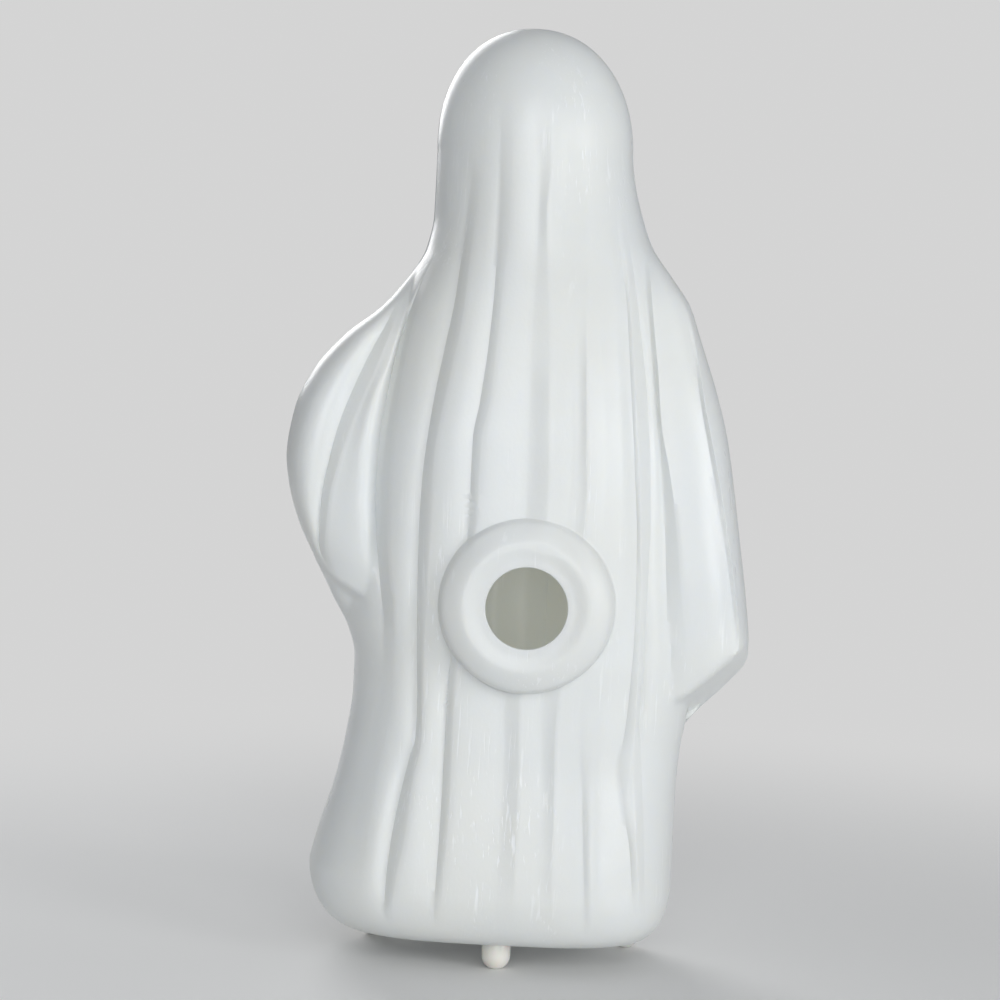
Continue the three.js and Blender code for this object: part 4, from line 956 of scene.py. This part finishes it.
@dataclass(frozen=True)
class PaintedOval:
    """One oval of face paint in its shallow moulded dent."""

    node: str
    x: float
    z: float
    half_width: float
    half_height: float
    dent: float = 0.75
    slope: float = 0.22
    film: float = 0.12
    edge: float = 0.02
    edge_power: int = 8
    margin: float = 0.35
    rings: int = 10
    steps: int = 64

    def dented(self, x: Array, z: Array) -> Array:
        """Returns how deep the moulded dent is at each place."""
        away = np.hypot((x - self.x) / self.half_width, (z - self.z) / self.half_height)
        return self.dent * smooth01((1 + self.slope / 2 - away) / self.slope)

    def surface(self, depth: Callable[[Array, Array], Array]) -> Surface:
        """Lays the paint film on the front skin.

        Args:
            depth: The front skin's finished depth.

        Returns:
            The closed film, thin at its edge.
        """
        angle = 2 * np.pi * np.arange(self.steps) / self.steps
        points = []
        for film in (self.film, self.edge):
            for k in range(self.rings + 1):
                share = math.sin(math.pi / 2 * k / self.rings)
                x = self.x + share * (self.half_width - self.margin) * np.cos(angle)
                z = self.z + share * (self.half_height - self.margin) * np.sin(angle)
                rise = mix(self.edge, film, math.sqrt(1 - share ** self.edge_power))
                points.append(np.stack((x, -depth(x, z) - rise, z), 1))
        top = turned_faces(0, self.rings, self.steps)
        under = turned_faces((self.rings + 1) * self.steps, self.rings, self.steps)
        return Surface(np.vstack(points), top + [face[::-1] for face in under]).welded()


@dataclass(frozen=True)
class PlugFoot:
    """A ball-ended plug foot whose stem snaps through the floor."""

    node: str
    x: float
    y: float
    radius: float = 5.3
    flat: float = 2.0
    flat_rise: float = 0.03
    floor: float = 10.0
    floor_top: float = 12.8
    bevel: float = 0.5
    stem: float = 3.0
    barb: float = 3.9
    barb_lip: float = 0.5
    barb_tip: float = 1.5
    barb_height: float = 4.0
    ball_steps: int = 24
    steps: int = 72

    def profile(self) -> list[Pair]:
        """Returns the foot's section as (radius, height), from the floor up."""
        start = math.asin(self.flat / self.radius)
        sink = self.radius * math.cos(start)
        shares = [k / self.ball_steps for k in range(1, self.ball_steps + 1)]
        ball = [mix(start, math.pi / 2, share) for share in shares]
        soft = 0.3 * self.bevel
        top = self.floor_top + self.barb_height
        return [
            (0.0, 0.0), (self.flat - self.bevel / 2, 0.0), (self.flat, self.flat_rise),
            *((self.radius * math.sin(a), sink - self.radius * math.cos(a)) for a in ball),
            (self.radius, self.floor - self.bevel), (self.radius - soft, self.floor - soft),
            (self.radius - self.bevel, self.floor), (self.stem, self.floor), (self.stem, self.floor_top),
            (self.barb, self.floor_top), (self.barb, self.floor_top + self.barb_lip),
            (self.barb_tip, top), (0.0, top)]

    def surface(self) -> Surface:
        """Returns the turned foot in its place."""
        section = self.profile()
        angle = 2 * np.pi * np.arange(self.steps) / self.steps
        points = [np.stack((self.x + r * np.cos(angle), self.y + r * np.sin(angle),
                            np.full_like(angle, z)), 1) for r, z in section]
        return Surface(np.vstack(points), turned_faces(0, len(section) - 1, self.steps)).welded()


class NodeBench:
    """A node tree with short ways to add its nodes."""

    def __init__(self, tree: Tree) -> None:
        """Keeps the tree that the nodes go into."""
        self.tree = tree

    def add(self, kind: str, inputs: Inputs | None = None, **settings: object) -> Node:
        """Adds a node.

        Args:
            kind: Its type, without the ShaderNode start where it has one.
            inputs: What goes into its inputs, by name or number.
            **settings: Its properties by name.

        Returns:
            The new node.
        """
        node = self.tree.nodes.new(kind if kind.startswith("Node") else "ShaderNode" + kind)
        for key, value in settings.items():
            setattr(node, key, value)
        self.feed(node, inputs or {})
        return node

    def feed(self, node: Node, inputs: Inputs) -> None:
        """Joins each socket to one of a node's inputs, and sets each constant on its own."""
        for key, value in inputs.items():
            if isinstance(value, Socket):
                self.tree.links.new(value, node.inputs[key])
            else:
                node.inputs[key].default_value = value

    def math(self, operation: str, a: Socket, b: Socket | float, clamp: bool = False) -> Socket:
        """Adds a Math node and returns its result."""
        return self.add("Math", {0: a, 1: b}, operation=operation, use_clamp=clamp).outputs[0]

    def band(self, value: Socket, low: float, high: float) -> Socket:
        """Returns how far a value is between two levels, eased, from 0 to 1."""
        ends = {"Value": value, "From Min": low, "From Max": high}
        return self.add("MapRange", ends, interpolation_type="SMOOTHSTEP").outputs["Result"]

    def between(self, share: Socket, ends: Pair) -> Socket:
        """Returns the value at a share of the way between two ends."""
        return self.add("MapRange", {"Value": share, "To Min": ends[0], "To Max": ends[1]}).outputs[0]

    def stretched(self, scale: Triple) -> Socket:
        """Returns the object's own coordinates, stretched along its axes."""
        place = self.add("TexCoord").outputs["Object"]
        return self.add("Mapping", {"Vector": place, "Scale": scale}).outputs["Vector"]

    def noise(self, scale: Triple, detail: float = 2.0, rough: float = 0.5) -> Socket:
        """Returns a noise's value, with its own scale along each axis."""
        inputs = {"Vector": self.stretched(scale), "Scale": 1.0, "Detail": detail, "Roughness": rough}
        return self.add("TexNoise", inputs, noise_dimensions="3D").outputs["Fac"]

    def bump(self, height: Socket, relief: Pair) -> Socket:
        """Returns the normal that a height gives, with a relief's strength and distance."""
        inputs = {"Height": height, "Strength": relief[0], "Distance": relief[1]}
        return self.add("Bump", inputs).outputs[0]

    def tint(self, factor: Socket, a: Socket | Colour, b: Colour) -> Socket:
        """Mixes from one colour to another by a factor."""
        return self.add("Mix", {0: factor, 6: a, 7: b}, data_type="RGBA").outputs[2]

    def group(self, tree: Tree, **values: float) -> dict[str, Socket]:
        """Places a shared effect with its own values, and returns its results by name."""
        return dict(self.add("Group", values, node_tree=tree).outputs.items())

    def give(self, **results: Socket) -> Tree:
        """Ends a shared effect: makes its outputs and joins the results to them."""
        for key in results:
            self.tree.interface.new_socket(key, in_out="OUTPUT", socket_type="NodeSocketFloat")
        self.add("NodeGroupOutput", results)
        return self.tree

    def show(self, share: Socket, first: Node, second: Node, output: str) -> None:
        """Mixes two shaders by a share, and shows the mix on the tree's output."""
        mixed = self.add("MixShader", {0: share, 1: first.outputs[0], 2: second.outputs[0]})
        self.feed(self.tree.nodes[output], {"Surface": mixed.outputs[0]})


def new_effect(name: str, dial: str, usual: float) -> tuple[NodeBench, Socket]:
    """Starts a shared effect with one dial, and returns its bench and the dial's socket."""
    tree = bpy.data.node_groups.new(name, "ShaderNodeTree")
    socket = tree.interface.new_socket(dial, in_out="INPUT", socket_type="NodeSocketFloat")
    socket.default_value = usual
    bench = NodeBench(tree)
    return bench, bench.add("NodeGroupInput").outputs[dial]


@dataclass
class Effects:
    """The surface effects that the finishes share, with their scales along each axis."""

    fine_scratches: Triple = (900, 900, 45)
    coarse_scratches: Triple = (420, 420, 26)
    worn_patches: Triple = (28, 28, 11)
    slow_tone: Triple = (22, 22, 14)
    mould_grain: Triple = (700, 700, 500)
    speck_cells: Triple = (55, 55, 55)
    empty_cells: float = 0.93

    def __post_init__(self) -> None:
        """Builds each effect once."""
        self.scuffs = self.make_scuffs()
        self.mottle = self.make_mottle()
        self.specks = self.make_specks()

    def make_scuffs(self) -> Tree:
        """Fine upright scratches that gather in worn patches."""
        bench, amount = new_effect("upright_scuffs", "Amount", 0.5)
        fine = bench.band(bench.noise(self.fine_scratches, 3.0, 0.6), 0.6, 0.72)
        coarse = bench.band(bench.noise(self.coarse_scratches, rough=0.55), 0.62, 0.74)
        patches = bench.band(bench.noise(self.worn_patches, rough=0.55), 0.5, 0.68)
        lines = bench.math("ADD", fine, coarse, clamp=True)
        mask = bench.math("MULTIPLY", bench.math("MULTIPLY", lines, patches), amount, clamp=True)
        return bench.give(Mask=mask, Height=bench.math("MULTIPLY", mask, -1.0))

    def make_mottle(self) -> Tree:
        """The slow unevenness of a blown skin and the fine texture that its mould leaves."""
        bench, grain = new_effect("blown_mottle", "Grain", 1.0)
        tone = bench.band(bench.noise(self.slow_tone, 3.0), 0.3, 0.7)
        return bench.give(Tone=tone, Height=bench.math("MULTIPLY", bench.noise(self.mould_grain), grain))

    def make_specks(self) -> Tree:
        """A few tiny dark specks, as dust pressed into the skin."""
        bench, size = new_effect("dust_specks", "Size", 0.05)
        inputs = {"Vector": bench.stretched(self.speck_cells), "Scale": 1.0}
        cells = bench.add("TexVoronoi", inputs, feature="F1", distance="EUCLIDEAN")
        tint = bench.add("SeparateColor", {0: cells.outputs["Color"]})
        chosen = bench.math("GREATER_THAN", tint.outputs[0], self.empty_cells)
        dot = bench.math("LESS_THAN", cells.outputs["Distance"], size)
        return bench.give(Mask=bench.math("MULTIPLY", chosen, dot))


def new_material(name: str) -> tuple[Material, NodeBench, Node]:
    """Starts a material and returns it with its bench and its Principled shader."""
    material = bpy.data.materials.new(name)
    material.use_nodes = True
    return material, NodeBench(material.node_tree), material.node_tree.nodes["Principled BSDF"]


@dataclass(frozen=True)
class ShellPlastic:
    """Satin white polyethylene from the mould, with handling scuffs and, for the lining, a painted glow."""

    base: Colour = (0.775, 0.80, 0.805, 1)
    warm: Colour = (0.765, 0.78, 0.765, 1)
    worn: Colour = (0.88, 0.90, 0.905, 1)
    dirt: Colour = (0.30, 0.28, 0.25, 1)
    glow: float = 0.35
    glow_depth: float = 0.004
    glow_reach: Triple = (1.0, 0.9, 0.7)
    satin: Pair = (0.31, 0.40)
    rubbed: float = 0.12
    relief: Pair = (0.45, 0.00018)
    # The colour of the lining's painted glow, emission that stands in for daylight through the wall
    painted_inner_glow_tint: Colour = (1.0, 1.0, 0.86, 1)

    def material(self, effects: Effects, name: str = "satin_shell_plastic",
                 painted_inner_glow: float = 0.0) -> Material:
        """Builds the finish.

        Args:
            effects: The shared surface effects.
            name: The material's name.
            painted_inner_glow: The strength of a painted glow, emission that stands in for daylight coming
                through the thin wall.

        Returns:
            The material.
        """
        material, bench, shader = new_material(name)
        mottle = bench.group(effects.mottle, Grain=0.5)
        scuffs = bench.group(effects.scuffs, Amount=1.0)
        specks = bench.group(effects.specks, Size=0.03)
        colour = bench.tint(mottle["Tone"], self.base, self.warm)
        colour = bench.tint(scuffs["Mask"], colour, self.worn)
        colour = bench.tint(specks["Mask"], colour, self.dirt)
        rough = bench.between(mottle["Tone"], self.satin)
        height = bench.math("ADD", mottle["Height"], scuffs["Height"])
        bench.feed(shader, {
            "Base Color": colour, "Normal": bench.bump(height, self.relief), "IOR": 1.5,
            "Roughness": bench.math("SUBTRACT", rough, bench.math("MULTIPLY", scuffs["Mask"], self.rubbed)),
            "Subsurface Weight": self.glow, "Subsurface Radius": self.glow_reach,
            "Subsurface Scale": self.glow_depth,
            # Emission is a painted glow, standing in for daylight that comes through the thin wall
            "Emission Color": self.painted_inner_glow_tint, "Emission Strength": painted_inner_glow})
        return material


@dataclass(frozen=True)
class FootPlastic:
    """Polished white plastic with a few fine scratches."""

    base: Colour = (0.84, 0.83, 0.80, 1)
    warm: Colour = (0.80, 0.78, 0.72, 1)
    polish: float = 0.14
    scratched: float = 0.25
    relief: Pair = (0.1, 0.0001)

    def material(self, effects: Effects) -> Material:
        """Builds the finish from the shared surface effects."""
        material, bench, shader = new_material("polished_foot_plastic")
        mottle = bench.group(effects.mottle, Grain=0.15)
        scuffs = bench.group(effects.scuffs, Amount=0.5)
        wear = bench.math("MULTIPLY", scuffs["Mask"], self.scratched)
        bench.feed(shader, {
            "Base Color": bench.tint(mottle["Tone"], self.base, self.warm),
            "Roughness": bench.math("ADD", wear, self.polish),
            "Normal": bench.bump(mottle["Height"], self.relief),
            "Subsurface Weight": 0.3, "Subsurface Scale": 0.003})
        return material


@dataclass(frozen=True)
class FacePaint:
    """Flat black paint, a little worn."""

    base: Colour = (0.018, 0.018, 0.02, 1)
    dull: Colour = (0.026, 0.026, 0.028, 1)
    worn: Colour = (0.06, 0.06, 0.062, 1)
    flatness: float = 0.48
    uneven: float = 0.12
    relief: Pair = (0.3, 0.0001)

    def material(self, effects: Effects) -> Material:
        """Builds the finish from the shared surface effects."""
        material, bench, shader = new_material("flat_face_paint")
        mottle = bench.group(effects.mottle, Grain=1.0)
        scuffs = bench.group(effects.scuffs, Amount=0.7)
        colour = bench.tint(mottle["Tone"], self.base, self.dull)
        rough = bench.math("MULTIPLY", mottle["Tone"], self.uneven)
        bench.feed(shader, {
            "Base Color": bench.tint(scuffs["Mask"], colour, self.worn),
            "Roughness": bench.math("ADD", rough, self.flatness),
            "Normal": bench.bump(mottle["Height"], self.relief)})
        return material


@dataclass
class BlownSkin:
    """The hollow body: the rear half with its lamp boss, and the front half with its face."""

    outline: FigureOutline = field(default_factory=FigureOutline)
    boss: LampBoss = field(default_factory=LampBoss)
    face: tuple[PaintedOval, ...] = (
        PaintedOval("eye_left", 14.5, 293, 5.5, 9.5),
        PaintedOval("eye_right", -13.5, 293, 5.5, 9.5),
        PaintedOval("mouth", 0.8, 266, 5, 7))

    def face_dents(self, x: Array, z: Array) -> Array:
        """Returns the depth of the face's dents at each place."""
        return sum(oval.dented(x, z) for oval in self.face)

    def build(self, plastic: Material, lining: Material,
              paint: Material) -> None:
        """Builds both halves and the paint in the face's dents.

        Args:
            plastic: The skin's finish.
            lining: The same finish as it looks inside the hollow, with a painted glow standing in for
                daylight through the wall.
            paint: The face paint's finish.
        """
        rear = SkinHalf(rear_side(self.outline), Facing.REAR, self.boss)
        settle(rear.solid().build("rear_skin", plastic, lining), "shell_plastic", "rear_shell")
        front = SkinHalf(front_side(self.outline), Facing.FRONT, dents=self.face_dents)
        settle(front.solid().build("front_skin", plastic, lining), "shell_plastic", "front_shell")
        for oval in self.face:
            film = oval.surface(front.depth).build(oval.node + "_paint", paint)
            settle(film, "face_paint", oval.node)


@dataclass
class PlugFeet:
    """The three feet that the figure stands on."""

    feet: tuple[PlugFoot, ...] = (
        PlugFoot("foot_rear", 0, 31),
        PlugFoot("foot_front_left", 47, -17),
        PlugFoot("foot_front_right", -49, -17))

    def build(self, plastic: Material) -> None:
        """Builds each foot with the finish given."""
        for foot in self.feet:
            piece = foot.surface().build(foot.node + "_plug", plastic, sharp=60)
            settle(piece, "foot_plastic", foot.node)


@dataclass(frozen=True)
class Lamp:
    """One soft studio lamp that looks at the figure."""

    name: str
    place: Triple
    size: float
    power: float
    tint: Triple = (1.0, 1.0, 1.0)

    def build(self, target: Vector) -> None:
        """Makes the lamp and turns it to the target."""
        data = bpy.data.lights.new(self.name, "AREA")
        data.shape = "DISK"
        data.size, data.energy, data.color = self.size, self.power, self.tint
        lamp = link(self.name, data)
        lamp.location = self.place
        lamp.rotation_mode = "QUATERNION"
        lamp.rotation_quaternion = (target - Vector(self.place)).to_track_quat("-Z", "Y")


@dataclass
class Studio:
    """The pale floor, the soft lamps and the camera, with angles in degrees."""

    eye: Triple = (0.0008644, 0.99006, 0.2175)
    pitch: float = 2.77
    pan: float = 0.4117
    roll: float = 2.9
    lens: float = 95.18
    target: Triple = (0.0, 0.0, 0.17)
    sky: Colour = (0.95, 0.97, 1.0, 1)
    sky_strength: float = 0.3
    backdrop: Colour = (0.66, 0.66, 0.66, 1)
    floor_tones: tuple[Colour, Colour] = ((0.86, 0.86, 0.855, 1), (0.89, 0.89, 0.885, 1))
    floor_reach: float = 6.0
    near: float = 0.15
    far: float = 0.7
    lamps: tuple[Lamp, ...] = (
        Lamp("key_lamp", (-1.5, 1.15, 0.45), 0.9, 10.0, (0.99, 1.0, 1.0)),
        Lamp("front_lamp", (-0.2, 1.9, 0.6), 1.4, 15.0, (0.99, 1.0, 1.0)),
        Lamp("far_lamp", (0.6, -1.5, 0.9), 1.0, 10.0))

    def build(self) -> None:
        """Builds the whole studio."""
        self.place_camera()
        self.lay_floor()
        self.light_world()
        for lamp in self.lamps:
            lamp.build(Vector(self.target))

    def place_camera(self) -> None:
        """Places the camera at the photograph's viewing angle."""
        pitch, pan, roll = (math.radians(v) for v in (self.pitch, self.pan, self.roll))
        level = math.cos(pitch)
        ahead = Vector((math.sin(pan) * level, -math.cos(pan) * level, -math.sin(pitch)))
        right = ahead.cross(Vector((0, 0, 1))).normalized()
        down = ahead.cross(right)
        across = right * math.cos(roll) - down * math.sin(roll)
        up = -(right * math.sin(roll) + down * math.cos(roll))
        turn = Matrix((across, up, -ahead)).transposed()
        data = bpy.data.cameras.new("photo_camera")
        data.lens, data.sensor_width, data.clip_start = self.lens, 36.0, 0.01
        data.sensor_fit = "HORIZONTAL"
        camera = link("photo_camera", data)
        camera.matrix_world = Matrix.Translation(self.eye) @ turn.to_4x4()
        bpy.context.scene.camera = camera

    def lay_floor(self) -> None:
        """Lays a pale floor that keeps the figure's shadow, and fades far off into the backdrop."""
        mesh = bpy.data.meshes.new("studio_floor")
        signs = ((-1, -1), (1, -1), (1, 1), (-1, 1))
        corners = [(a * self.floor_reach, b * self.floor_reach, 0) for a, b in signs]
        mesh.from_pydata(corners, [], [(0, 1, 2, 3)])
        material, bench, shader = new_material("pale_floor")
        tone = bench.band(bench.noise((3, 3, 3)), 0.2, 0.8)
        bench.feed(shader, {"Base Color": bench.tint(tone, *self.floor_tones), "Roughness": 0.7})
        away = bench.add("VectorMath", {0: bench.stretched((1, 1, 1))}, operation="LENGTH")
        faded = bench.band(away.outputs["Value"], self.near, self.far)
        seen = bench.math("MULTIPLY", faded, bench.add("LightPath").outputs["Is Camera Ray"])
        haze = bench.add("Emission", {"Color": self.backdrop})
        bench.show(seen, shader, haze, "Material Output")
        mesh.materials.append(material)
        link("studio_floor", mesh)

    def light_world(self) -> None:
        """Lights the scene evenly, and shows the camera a pale backdrop."""
        world = bpy.data.worlds.new("studio_world")
        world.use_nodes = True
        bpy.context.scene.world = world
        bench = NodeBench(world.node_tree)
        soft = world.node_tree.nodes["Background"]
        bench.feed(soft, {"Color": self.sky, "Strength": self.sky_strength})
        backdrop = bench.add("Background", {"Color": self.backdrop, "Strength": 1.0})
        bench.show(bench.add("LightPath").outputs["Is Camera Ray"], soft, backdrop, "World Output")


def main() -> None:
    """Builds the studio and every piece."""
    logging.basicConfig(level=logging.INFO, format="%(message)s")
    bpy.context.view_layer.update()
    bpy.context.scene.view_settings.view_transform = "Standard"
    Studio().build()
    effects = Effects()
    shell = ShellPlastic()
    # The lining carries a painted glow, emission that brightens the hollow seen through the lamp hole
    lining = shell.material(effects, "shell_plastic_lining_painted_glow", painted_inner_glow=0.07)
    BlownSkin().build(shell.material(effects), lining, FacePaint().material(effects))
    PlugFeet().build(FootPlastic().material(effects))


if __name__ == "__main__":
    main()
